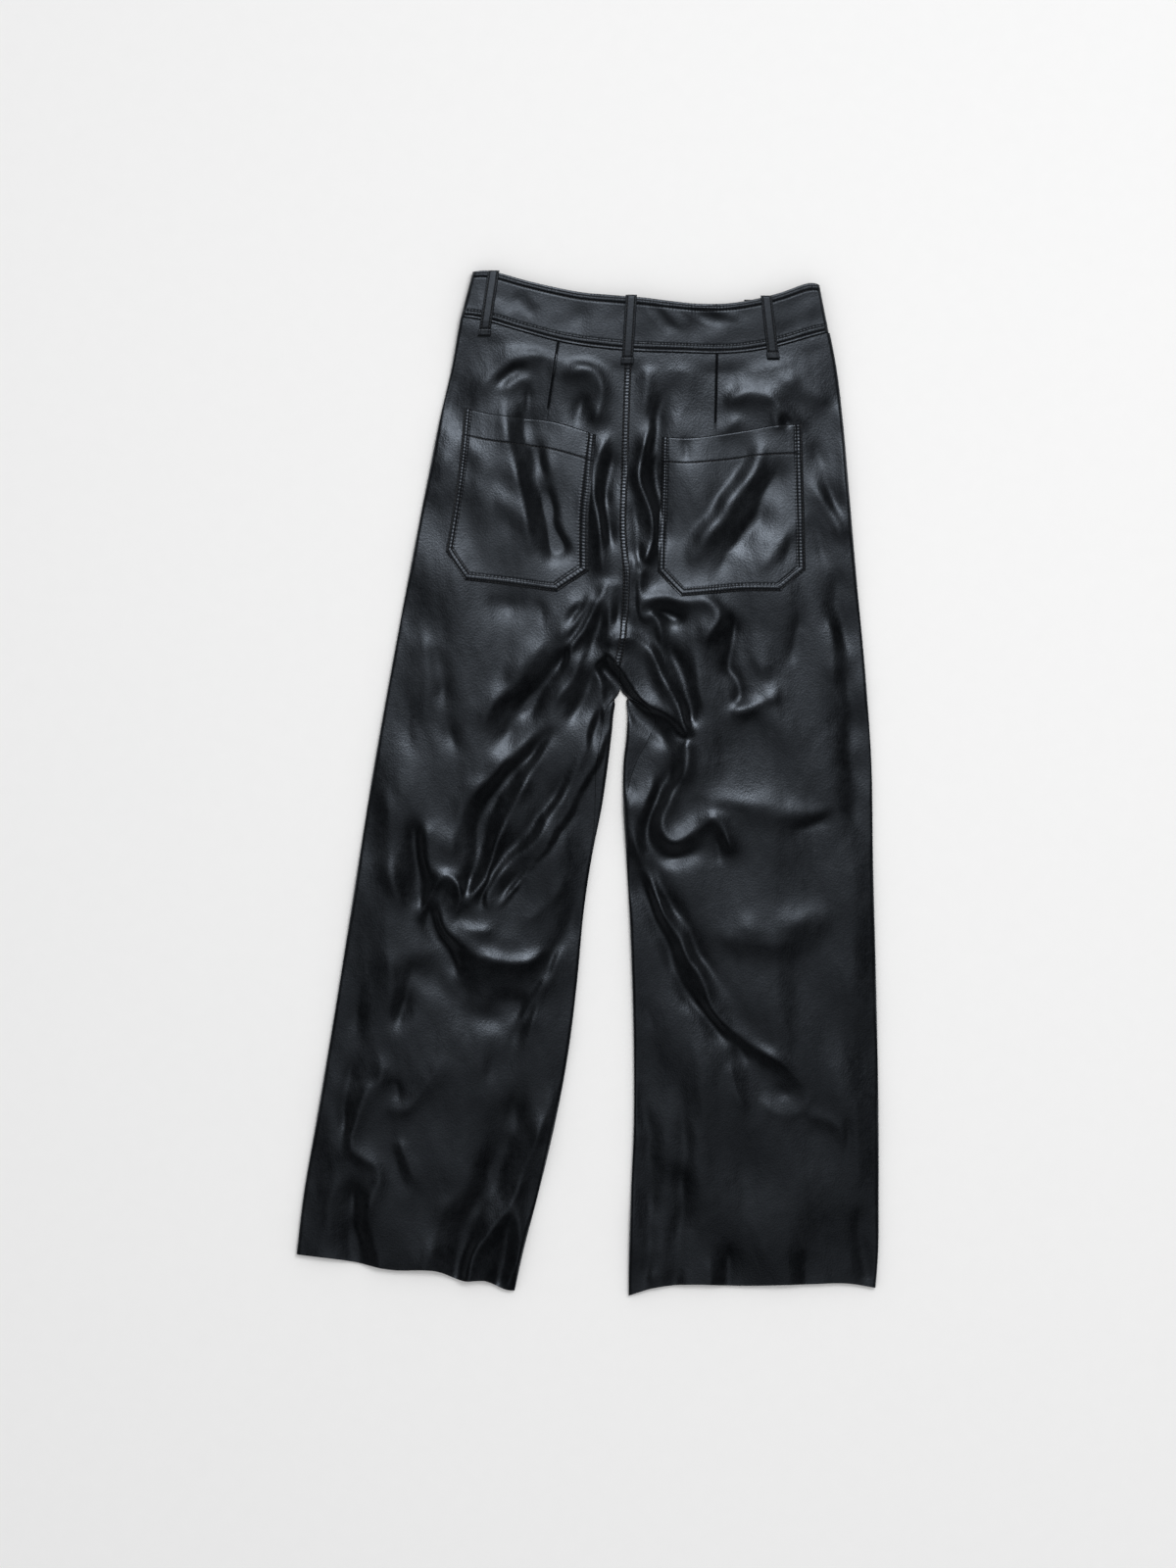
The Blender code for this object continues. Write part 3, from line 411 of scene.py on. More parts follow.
    Fold((92, -285, 2, -67, -3, -66, -5, -69), 7, 11, -3.2, 0.3, 0),
    Fold((253, -314, -2, -33, -2, -30), 6, 6, -2.2, 0.4, 0.4),
    Fold((261, -295, 1, -47, 0, -59), 5, 5, 1.8),
    Fold((261, -405, 3, -32, 7, -42), 8, 9, -2.8, 0.3, 0),
    Fold((139, -439, -2, -27, -1, -21), 10, 10, -3, 0.4, 0),
    Fold((116, -456, 5, -31), 6, 7, 2.2, 0.4, 0),
    Fold((209, -449, 1, -21, -1, -16), 10, 10, -2.5, 0.4, 0),
    Fold((65, -468, -13, -28), 7, 7, 2.5, 0.4, 0),
)


@dataclass(frozen=True)
class Raster:
    """Values on a square net of points, read between them with a cubic."""

    west: float
    south: float
    step: float
    values: Array

    def read(self, x: Array, y: Array) -> Array:
        """Reads the net by cubic convolution over the sixteen nearest points.

        Args:
            x: Places across.
            y: Places along.

        Returns:
            The value at each place.
        """
        across = (np.asarray(x, float) - self.west) / self.step
        along = (np.asarray(y, float) - self.south) / self.step
        rows, columns = self.values.shape
        i = np.clip(np.floor(across).astype(int), 1, columns - 3)
        j = np.clip(np.floor(along).astype(int), 1, rows - 3)
        u, v = np.clip(across - i, 0.0, 1.0), np.clip(along - j, 0.0, 1.0)
        total = np.zeros(np.broadcast(u, v).shape)
        for a, weight_a in enumerate(self._weights(v)):
            for b, weight_b in enumerate(self._weights(u)):
                total += weight_a * weight_b * self.values[j + a - 1, i + b - 1]
        return total

    @staticmethod
    def _weights(t: Array) -> tuple[Array, Array, Array, Array]:
        """Weights of four neighbours in a row, from Catmull and Rom's cubic."""
        return (
            ((-t + 2) * t - 1) * t / 2,
            ((3 * t - 5) * t * t + 2) / 2,
            ((-3 * t + 4) * t + 1) * t / 2,
            (t - 1) * t * t / 2,
        )


@dataclass(frozen=True)
class Pattern:
    """Edges and seams of the garment as it lies, seen from above."""

    outer_edges: tuple[Triple, ...] = (
        (500, -109.5, 221), (475, -118, 226), (450, -123, 231.5), (400, -132, 241.5),
        (350, -143.5, 247.5), (300, -153.5, 252), (200, -173, 260.5), (90, -193.5, 270.5),
        (20, -206, 275), (-70, -220.5, 276.5), (-190, -239.5, 279.5), (-260, -251, 281),
        (-330, -263, 282), (-400, -275, 282), (-455, -281.7, 281.5), (-500, -286.5, 278),
    )
    centre_seam: tuple[Pair, ...] = (
        (480, 39.5), (400, 39), (300, 35.7), (240, 34.5), (200, 37.5), (150, 34.5), (120, 32),
        (60, 32.5),
    )
    inner_edges: tuple[Triple, ...] = (
        (100, 33.5, 33.5), (90, 32, 33), (75, 26.8, 37.8), (50, 23.8, 38), (20, 20.2, 34.9),
        (-20, 14.4, 34.5), (-70, 4.4, 37.5), (-120, -3.1, 40.4), (-190, -9.8, 43.2), (-260, -18.4, 44.9),
        (-330, -31.5, 44.8), (-400, -48.3, 42), (-450, -61.3, 40.2), (-500, -72.5, 39.8),
    )
    inseam_insets: tuple[Triple, ...] = (
        (100, 1.6, 1.6), (90, 1.6, 2), (76, 7, 16), (62, 9.5, 27), (45, 10.5, 22),
        (14, 11, 10), (-14, 8, 3.5), (-45, 3.4, 1.6), (-88, 1.6, 1.6), (-500, 1.6, 1.6),
    )
    least_inset: float = 1.6
    band_seam: tuple[Pair, ...] = (
        (-122.5, 451), (-101.5, 447.5), (-70, 438.5), (-26, 426.5), (38.5, 418), (94, 416),
        (126, 415.1), (155, 417), (185, 422.5), (215, 431), (233.5, 436),
    )
    left_hem: tuple[Pair, ...] = (
        (-283, -455.5), (-235, -461.5), (-190, -470.5), (-144, -472.5), (-121, -481), (-99, -481.5),
        (-76, -490.5), (-68, -491),
    )
    right_hem: tuple[Pair, ...] = (
        (38, -496.4), (61, -489), (84, -485.5), (107, -484.8), (141, -486), (209, -484.6),
        (255, -484.2), (280, -488.4),
    )
    waist_bends: tuple[Pair, ...] = ((40, 0), (90, 0.15), (180, 0.58), (335, 0.95), (418, 1))
    crotch: float = 90.0
    waist_level: float = 418.0
    hem_level: float = -488.0
    hem_bend_level: float = -330.0
    part_start: float = 97.0
    part_end: float = 74.0
    settle_turns: int = 4

    @staticmethod
    def _sided(rows: Sequence[tuple[float, float, float]], side: Side) -> Curve:
        """The curve of one side from rows of level, left value and right value."""
        return Curve(tuple((row[0], row[1 if side is Side.LEFT else 2]) for row in rows))

    def outer(self, side: Side, y: Array) -> Array:
        """X of the outer edge of one leg."""
        return self._sided(self.outer_edges, side)(y)

    def inner(self, side: Side, y: Array) -> Array:
        """X of the inner edge of one leg, below the crotch."""
        return self._sided(self.inner_edges, side)(y)

    def centre(self, y: Array | float) -> Array:
        """X of the centre back seam, and of the centre front under it."""
        return Curve(self.centre_seam)(y)

    def seam(self, x: Array | float) -> Array:
        """Y of the waistband's seam."""
        return Curve(self.band_seam)(x)

    def inset(self, side: Side, y: Array) -> Array:
        """Distance from the inner edge to the inseam, on the upper side."""
        return np.maximum(self._sided(self.inseam_insets, side)(y), self.least_inset)

    def back_edge(self, side: Side, y: Array) -> Array:
        """X where a back panel ends: the centre seam, and the inseam below the crotch."""
        inseam = self.inner(side, y) + side.value * self.inset(side, y)
        return np.where(np.asarray(y) >= self.crotch, self.centre(y), inseam)

    def parted(self, y: Array) -> Array:
        """How far the two legs have parted: 0 above the crotch and 1 below it."""
        return 1.0 - ease(y, self.part_end, self.part_start)

    def row_y(self, side: Side, level: Array, x: Array) -> Array:
        """Y of a row: its level, bent by a share of the waist's shape and a share of the hem's.

        Args:
            side: The leg.
            level: The row's level.
            x: Places across.

        Returns:
            Y at each place.
        """
        hem = Curve(self.left_hem if side is Side.LEFT else self.right_hem)
        levels, shares = zip(*self.waist_bends)
        waist = np.interp(level, levels, shares)
        low = 1.0 - ease(level, self.hem_level, self.hem_bend_level)
        from_waist = waist * (self.seam(x) - self.seam(self.centre(self.waist_level)))
        return level + from_waist + low * (hem(x) - self.hem_level)

    def settle(self, side: Side, level: Array, place: Place) -> tuple[Array, Array]:
        """Finds where a line down the panel crosses a row, by turns from x to y and back.

        Args:
            side: The leg.
            level: The row's level.
            place: The line, as x for a y.

        Returns:
            X and y.
        """
        x = y = np.array(level, float)
        for _ in range(self.settle_turns):
            x = place(y)
            y = self.row_y(side, level, x)
        return x, y


@dataclass(frozen=True)
class Dart:
    """A sewn dart: a fine groove down from the waist with one lip a little higher."""

    top: Pair
    foot: Pair
    depth: float = 0.75
    groove: float = 0.75
    lip: float = 0.45
    lip_width: float = 5.0
    foot_below: float = 6.0
    foot_above: float = 22.0

    def x_at(self, y: Array) -> Array:
        """X of the dart's line, which is held at its foot below it."""
        share = np.clip((self.top[1] - y) / (self.top[1] - self.foot[1]), 0.0, 1.0)
        return self.top[0] + share * (self.foot[0] - self.top[0])

    def relief(self, x: Array, y: Array) -> Array:
        """Height that the dart adds: a bell-shaped groove, and a lip that falls off to its left.

        Args:
            x: Places across.
            y: Places along.

        Returns:
            The height at each place.
        """
        fade = ease(y, self.foot[1] - self.foot_below, self.foot[1] + self.foot_above)
        away = x - self.x_at(y)
        groove = -self.depth * bell(away, self.groove)
        lip = self.lip * np.exp(-np.clip(-away, 0.0, None) / self.lip_width) * (away < 0)
        return fade * (groove + lip)


LEFT_DART = Dart((-28.3, 427.0), (-40.1, 352.0))
RIGHT_DART = Dart((125.2, 416.0), (123.4, 338.0))


@dataclass
class Drape:
    """How the two layers lie: their heights, the folds in the upper one and its turned edges."""

    pattern: Pattern = field(default_factory=Pattern)
    folds: tuple[Fold, ...] = FOLDS
    darts: tuple[Dart, ...] = (LEFT_DART, RIGHT_DART)
    leather: float = 1.2
    roll: float = 3.8
    edge_middle: float = 3.6
    laid_height: float = 8.2
    rim_height: float = 6.2
    rim_width: float = 22.0
    rim_fade: float = 60.0
    lowest_top: float = 2.6
    lowest_bend: float = 1.6
    seam_gap: float = 0.4
    band_floor: float = 2.1
    band_height: float = 10.8
    band_proud: float = 0.6
    band_width: float = 50.5
    band_lean: tuple[Pair, ...] = ((-122, 0.8), (-20, 1), (22, 1.8), (60, 3.8), (233, 3.2))
    band_rise: float = 62.0
    front_rise: float = 50.0
    front_level: float = 20.0
    net_step: float = 1.0
    net_x: Pair = (-300.0, 300.0)
    net_y: Pair = (-515.0, 515.0)
    net_margin: float = 12.0
    swells: Waves = ((90.0, 0.8, 14, 1.3), (36.0, 0.17, 20, 2.4), (14.0, 0.035, 24, 2.0))
    wander: Waves = ((45.0, 1.0, 10, 1.0), (18.0, 0.3, 10, 1.0))
    vary: Waves = ((40.0, 0.14, 12, 1.0),)
    strips: dict[Crest, Pair] = field(
        default_factory=lambda: {Crest.ROUND: (0.5, 0.16), Crest.SHARP: (0.26, 1.2), Crest.CLIFF: (0.5, 0.9)}
    )
    cliff_foot: float = 0.6
    spread: float = 1.5
    rest: float = 0.022
    rest_folded: float = 0.0008
    smoothing: int = 4
    seed: int = 11

    @cached_property
    def _net(self) -> tuple[Array, Array]:
        """X and y of the points of the net."""
        step = self.net_step
        return np.meshgrid(*(np.arange(low, high + step, step) for low, high in (self.net_x, self.net_y)))

    @cached_property
    def creases(self) -> Raster:
        """Height of the folds over the laid layer, as a skin stretched over ridges and troughs.

        Each fold pulls the skin to its height along a strip at its line, and keeps it off the flat to its
        full width. The height h is the one for which (pull + rest) h - (the Laplacian of h) = pull *
        (height of the folds), found with conjugate gradients. So between two folds the skin is straight,
        and away from all of them it lies flat. The places are shifted a little and the heights varied
        by slow waves, so that no fold is even.

        Returns:
            The heights on a square net.
        """
        x, y = self._net
        shift_x, shift_y = x + self.waved(x, y, self.wander, 1), y + self.waved(x, y, self.wander, 2)
        pull, held, cover = (np.zeros_like(x) for _ in range(3))
        for fold in self.folds:
            line = fold.line
            reach = max(fold.left, fold.right) * self.spread + self.net_margin
            low, high = line.min(0) - reach, line.max(0) + reach
            spot = (
                slice(*np.searchsorted(y[:, 0], (low[1], high[1]))),
                slice(*np.searchsorted(x[0], (low[0], high[0]))),
            )
            across, fade = fold.place(shift_x[spot], shift_y[spot])
            width, firm = self.strips[fold.crest]
            strip = np.cos(np.clip(across / width, -1.0, 1.0) * np.pi / 2) ** 2
            strength = firm * strip * fade
            level = fold.height * fade
            if fold.crest is Crest.CLIFF:
                steep = (across >= 0) == (fold.left < fold.right)
                level = np.where(steep, -self.cliff_foot * level, level)
            pull[spot] += strength
            held[spot] += strength * level
            wide = np.cos(np.clip(across / self.spread, -1.0, 1.0) * np.pi / 2) ** 2 * fade
            cover[spot] = np.maximum(cover[spot], wide)
        rest = self.rest * (1.0 - cover) ** 3 + self.rest_folded
        height = self._stretched(pull + rest, held)
        for _ in range(self.smoothing):
            for axis in (0, 1):
                height = (np.roll(height, 1, axis) + 2 * height + np.roll(height, -1, axis)) / 4
        height = height * (1.0 + self.waved(x, y, self.vary, 3)) + self.waved(x, y, self.swells, self.seed)
        return Raster(self.net_x[0], self.net_y[0], self.net_step, height)

    @staticmethod
    def _stretched(firm: Array, held: Array, tolerance: float = 1e-4, most: int = 400) -> Array:
        """Solves firm * h - (the Laplacian of h) = held by conjugate gradients.

        Args:
            firm: How firmly each place is held.
            held: That times the height it is held at.
            tolerance: Share of the first remainder to stop at.
            most: Most rounds.

        Returns:
            The heights h.
        """
        inverse = 1.0 / (firm + 4.0)
        height = held * inverse
        ahead, size, target = None, 0.0, 0.0
        left = held - _less_neighbours(firm, height)
        for _ in range(most):
            eased = left * inverse
            before, size = size, float(np.vdot(left, eased))
            target = target or size * tolerance**2
            if size <= target and before:
                break
            ahead = eased if ahead is None else eased + ahead * (size / before)
            turned = _less_neighbours(firm, ahead)
            step = size / float(np.vdot(ahead, turned))
            height = height + step * ahead
            left = left - step * turned
        return height

    @staticmethod
    def waved(x: Array, y: Array, table: Waves, seed: int) -> Array:
        """Slow unevenness, added up from waves of a few lengths in seeded directions.

        Args:
            x: Places across.
            y: Places along.
            table: Length, height, how many waves, and how much longer they are along the leg.
            seed: Of their directions and places.

        Returns:
            The height at each place.
        """
        random = np.random.default_rng(seed)
        total = np.zeros_like(x)
        for length, height, count, stretch in table:
            turns = random.uniform(0, 2 * np.pi, count)
            phases = random.uniform(0, 2 * np.pi, count)
            spread = length * random.uniform(0.7, 1.4, count)
            for turn, phase, wave in zip(turns, phases, spread):
                along = x * np.cos(turn) + y * np.sin(turn) / stretch
                total += height * math.sqrt(2.0 / count) * np.sin(2 * np.pi * along / wave + phase)
        return total

    def rolled(self, distance: Array) -> Array:
        """Share of the full height that a turned edge has reached."""
        return quarter(distance, self.roll)

    def waist_share(self, x: Array, y: Array, length: float, level: float = 0.0) -> Array:
        """Share of the rise to the waistband, from length below its seam to level below it."""
        return ease(y - self.pattern.seam(x), -length, -level)

    def lean(self, x: Array, y: Array) -> Array:
        """How much higher the waistband lies at a place, as its top edge stands up from its seam."""
        share = np.clip((y - self.pattern.seam(x)) / self.band_width, 0.0, 1.0)
        return share * np.interp(x, *np.array(self.band_lean).T)

    def middle(self, x: Array, y: Array) -> Array:
        """Height of a turned edge's middle, where the outseam runs."""
        share = self.waist_share(x, y, self.band_rise)
        return self.edge_middle * (1 - share) + (self.band_floor + self.band_height) / 2 * share

    def upper(self, side: Side, x: Array, y: Array) -> Array:
        """Height of the upper layer before its edges turn down.

        It is the laid height, which falls off beside the turned edges, plus the folds. A smooth lower
        limit keeps it off the layer below, and near the waist it goes over to the band's height.

        Args:
            side: The leg.
            x: Places across.
            y: Places along.

        Returns:
            The height at each place.
        """
        outer = bell(x - self.pattern.outer(side, y), self.rim_width)
        inner = bell(self.pattern.inner(side, y) - x, self.rim_width)
        inner = inner * (1.0 - ease(y, self.pattern.part_end - self.rim_fade, self.pattern.part_start))
        laid = self.laid_height + (self.rim_height - self.laid_height) * np.maximum(outer, inner)
        share = self.waist_share(x, y, self.band_rise)
        laid = laid * (1 - share) + (self.band_height - self.band_proud) * share
        over = laid + self.creases.read(x, y) * (1 - ease(share, 0.75, 1.0)) - self.lowest_top
        lifted = self.lowest_top + (over + np.sqrt(over * over + self.lowest_bend**2)) / 2
        return lifted + sum(dart.relief(x, y) for dart in self.darts)

    def top_z(self, side: Side, x: Array, y: Array) -> Array:
        """Height of the upper layer, with its outer and inner edges turned down.

        Args:
            side: The leg.
            x: Places across.
            y: Places along.

        Returns:
            The height at each place.
        """
        outer = self.rolled(np.abs(x - self.pattern.outer(side, y)))
        inner = self.rolled(np.abs(self.pattern.inner(side, y) - x))
        inner = 1.0 - self.pattern.parted(y) * (1.0 - inner)
        middle = self.middle(x, y) + self.seam_gap / 2
        return middle + (self.upper(side, x, y) - middle) * np.minimum(outer, inner)

    def top(self, side: Side, x: Array, y: Array) -> Array:
        """Points of the upper layer's outside over places in the pattern."""
        return np.stack([x, y, self.top_z(side, x, y)], -1)

    def top_normals(self, side: Side, x: Array, y: Array, step: float) -> Array:
        """Unit normals of the upper layer, from the cross product of two steps over it.

        Args:
            side: The leg.
            x: Places across.
            y: Places along.
            step: Distance to the points on each side.

        Returns:
            The normals.
        """
        across = self.top(side, x + step, y) - self.top(side, x - step, y)
        along = self.top(side, x, y + step) - self.top(side, x, y - step)
        return unit(np.cross(across, along))

    def floor_z(self, x: Array, y: Array, distance: Array | float) -> Array:
        """Height of the lower layer's outside, flat on the surface away from its turned edge.

        Args:
            x: Places across.
            y: Places along.
            distance: Distance from the turned edge.

        Returns:
            The height at each place.
        """
        share = self.waist_share(x, y, self.front_rise, self.front_level)
        low = (self.band_floor + self.band_proud) * share
        middle = self.middle(x, y) - self.seam_gap / 2
        return middle + (low - middle) * self.rolled(np.asarray(distance, float))


@dataclass(frozen=True)
class Node:
    """A shader node that is being set up, with short ways to fill its sockets."""

    tree: bpy.types.NodeTree
    node: bpy.types.Node

    def set(self, **values: object) -> "Node":
        """Gives input sockets their constants. An underscore in a name stands for a space."""
        for key, value in values.items():
            self.node.inputs[key.replace("_", " ")].default_value = value
        return self

    def feed(self, socket: str | int, source: "Node", output: str | int = 0) -> "Node":
        """Links an output of another node to an input of this one."""
        self.tree.links.new(source.node.outputs[output], self.node.inputs[socket])
        return self


@dataclass
class Graph:
    """A material or world whose nodes are built by calls."""

    tree: bpy.types.NodeTree

    def add(self, kind: str, **settings: object) -> Node:
        """Adds a node.

        Args:
            kind: Its type's name after "ShaderNode".
            settings: Its own settings.

        Returns:
            The node.
        """
        node = self.tree.nodes.new("ShaderNode" + kind)
        for key, value in settings.items():
            setattr(node, key, value)
        return Node(self.tree, node)

    def ramp(self, source: Node, low: float, high: float, span: Pair, output: str | int = 0) -> Node:
        """Maps an output evenly from between low and high to a span, and keeps it within that.

        Args:
            source: The node that it comes from.
            low: What gives the span's first value.
            high: What gives its second.
            span: The two values.
            output: Which output.

        Returns:
            The node.
        """
        node = self.add("MapRange", clamp=True)
        node.feed(0, source, output)
        for k, value in enumerate((low, high, *span)):
            node.node.inputs[k + 1].default_value = value
        return node

    def sum_of(self, first: Node, second: Node, factor: float) -> Node:
        """First plus factor times second.

        Args:
            first: A node.
            second: Another.
            factor: A number.

        Returns:
            The node.
        """
        node = self.add("Math", operation="MULTIPLY_ADD")
        node.feed(0, second)
        node.node.inputs[1].default_value = factor
        return node.feed(2, first)

    def spread(self, kind: str, place: Node | None = None, **settings: object) -> Node:
        """Adds a texture that is laid out by the place on the piece, or by another node."""
        made = self.add("Tex" + kind, **settings)
        return made.feed("Vector", place) if place else made.feed("Vector", self.add("TexCoord"), "Object")

    def colours(self, first: Triple, second: Triple, source: Node, output: str | int = 0) -> Node:
        """Goes from the first colour to the second by an output.

        Args:
            first: Where it is 0.
            second: Where it is 1.
            source: The node that it comes from.
            output: Which output.

        Returns:
            The node, with its colour at output 2.
        """
        node = self.add("Mix", data_type="RGBA").feed(0, source, output)
        node.node.inputs[6].default_value = (*first, 1.0)
        node.node.inputs[7].default_value = (*second, 1.0)
        return node

    def bump(self, source: Node, depth: float, strength: float = 0.5, output: str | int = 0) -> Node:
        """Adds a bump from an output, of a depth in millimetres."""
        node = self.add("Bump").set(Strength=strength, Distance=depth * MM)
        return node.feed("Height", source, output)


def new_material(name: str) -> tuple[bpy.types.Material, Graph, Node]:
    """Makes a material of nodes.

    Args:
        name: The finish's name.

    Returns:
        The material, its graph and its main shader.
    """
    made = bpy.data.materials.new(name)
    made.use_nodes = True
    graph = Graph(made.node_tree)
    return made, graph, Node(made.node_tree, made.node_tree.nodes["Principled BSDF"])


@dataclass(frozen=True)
class Leather:
    """Black coated leather with a satin face, a fine pebbled grain and polish where it rubs."""

    name: str
    colour: Triple = (0.0011, 0.0012, 0.0016)
    rubbed: Triple = (0.007, 0.0075, 0.0085)
    # A painted blue cast in the sheen, standing in for the bluish light that the leather reflects.
    painted_light_tint: Triple = (0.76, 0.86, 1.0)
    shine: float = 0.5
    roughness: Pair = (0.31, 0.44)
    rubbed_gloss: float = 0.08
    crease: float = 95.0
    crease_depth: float = 0.42
    pebble: float = 560.0
    pebble_depth: float = 0.17
    fine: float = 1700.0
    fine_depth: float = 0.035

    def material(self) -> bpy.types.Material:
        """Builds it: cells and noise for the grain, slow noise for gloss and tone, and rubbed places.

        Returns:
            The material.
        """
        made, graph, shader = new_material(self.name)
        # The sheen is tinted blue here: painted light colour, in place of a bluish light.
        shader.set(IOR=1.5, Specular_IOR_Level=self.shine, Specular_Tint=(*self.painted_light_tint, 1.0))
        slow = graph.spread("Noise").set(Scale=16.0, Detail=4.0, Roughness=0.6)
        patch = graph.spread("Noise").set(Scale=170.0, Detail=3.0, Roughness=0.6)
        blend = graph.sum_of(slow, patch, 0.5)
        rub = graph.add("Attribute", attribute_name="rubbed")
        gloss = graph.ramp(blend, 0.55, 0.95, self.roughness)
        shader.feed("Roughness", graph.sum_of(gloss, rub, -self.rubbed_gloss))
        share = graph.sum_of(graph.ramp(blend, 0.6, 1.0, (0.0, 0.35)), rub, 0.8)
        shader.feed("Base Color", graph.colours(self.colour, self.rubbed, share), 2)
        cells = graph.spread("Voronoi", feature="SMOOTH_F1")
        cells.set(Scale=self.pebble, Smoothness=0.6, Randomness=1.0)
        dust = graph.spread("Noise").set(Scale=self.fine, Detail=2.0)
        stretch = graph.add("Mapping").set(Scale=(1.0, 0.6, 1.0))
        stretch.feed("Vector", graph.add("TexCoord"), "Object")
        lines = graph.spread("Noise", stretch)
        lines.set(Scale=self.crease, Detail=2.5, Roughness=0.55, Distortion=0.4)
        coarse = graph.bump(cells, self.pebble_depth).feed("Normal", graph.bump(lines, self.crease_depth))
        shader.feed("Normal", graph.bump(dust, self.fine_depth).feed("Normal", coarse))
        return made


@dataclass(frozen=True)
class Backing:
    """The knitted cloth on the inside of the leather, with ribs of tiny loops."""

    name: str
    colour: Triple = (0.018, 0.018, 0.02)
    lit: Triple = (0.035, 0.035, 0.038)
    pitch: float = 900.0

    def material(self) -> bpy.types.Material:
        """Builds it from two crossed waves for colour and bump.

        Returns:
            The material.
        """
        made, graph, shader = new_material(self.name)
        shader.set(Roughness=0.9, Specular_IOR_Level=0.2)
        ribs = graph.spread("Wave", wave_type="BANDS", bands_direction="X")
        ribs.set(Scale=self.pitch / 3, Distortion=1.0, Detail=1.0)
        rows = graph.spread("Wave", wave_type="BANDS", bands_direction="Y")
        rows.set(Scale=self.pitch / 4, Distortion=1.0, Detail=1.0)
        knit = graph.add("Math", operation="MULTIPLY").feed(0, ribs, "Fac").feed(1, rows, "Fac")
        shader.feed("Base Color", graph.colours(self.colour, self.lit, knit), 2)
        shader.feed("Normal", graph.bump(knit, 0.15, 0.6))
        return made


@dataclass(frozen=True)
class Thread:
    """Black thread with slanting plies, or a tape that is woven of it in herringbone."""

    name: str
    colour: Triple = (0.006, 0.006, 0.008)
    lit: Triple = (0.02, 0.02, 0.024)
    twist: float = 867.0
    slub: float = 0.6
    depth: float = 0.06
    roughness: float = 0.55

    def material(self) -> bpy.types.Material:
        """Builds it from slanting waves, which noise disturbs.

        Returns:
            The material.
        """
        made, graph, shader = new_material(self.name)
        shader.set(Roughness=self.roughness, Specular_IOR_Level=0.35)
        plies = graph.spread("Wave", wave_type="BANDS", bands_direction="DIAGONAL")
        plies.set(Scale=self.twist, Distortion=self.slub)
        shader.feed("Base Color", graph.colours(self.colour, self.lit, plies, "Fac"), 2)
        shader.feed("Normal", graph.bump(plies, self.depth, output="Fac"))
        return made


@dataclass(frozen=True)
class Nickel:
    """Dark plated metal of the zip's slider, faintly brushed."""

    name: str
    colour: Triple = (0.30, 0.30, 0.31)

    def material(self) -> bpy.types.Material:
        """Builds it from stretched noise in roughness and bump.

        Returns:
            The material.
        """
        made, graph, shader = new_material(self.name)
        shader.set(Metallic=1.0, Base_Color=(*self.colour, 1.0))
        stretch = graph.add("Mapping").set(Scale=(4000.0, 300.0, 4000.0))
        stretch.feed("Vector", graph.add("TexCoord"), "Object")
        lines = graph.spread("Noise", stretch).set(Scale=1.0, Detail=3.0)
        shader.feed("Roughness", graph.ramp(lines, 0.3, 0.7, (0.22, 0.42)))
        shader.feed("Normal", graph.bump(lines, 0.02, 0.4))
        return made


@dataclass(frozen=True)
class Finishes:
    """The materials of all pieces."""

    panel: bpy.types.Material
    band: bpy.types.Material
    pocket: bpy.types.Material
    loop: bpy.types.Material
    backing: bpy.types.Material
    thread: bpy.types.Material
    tape: bpy.types.Material
    nickel: bpy.types.Material

    @classmethod
    def made(cls) -> "Finishes":
        """Builds each of them once."""
        return cls(
            panel=Leather("panel_leather").material(),
            band=Leather("band_leather", roughness=(0.38, 0.50)).material(),
            # The pockets get a lit copy of the leather with more shine: a painted highlight that makes them
            # look brighter than the panels.
            pocket=Leather("pocket_leather", shine=0.65, roughness=(0.35, 0.47)).material(),
            loop=Leather("loop_leather", roughness=(0.42, 0.52)).material(),
            backing=Backing("knit_backing").material(),
            thread=Thread("black_thread").material(),
            tape=Thread(
                "woven_tape", (0.012,) * 3, (0.03,) * 3, twist=420.0, slub=1.5, depth=0.1, roughness=0.85
            ).material(),
            nickel=Nickel("dark_nickel").material(),
        )


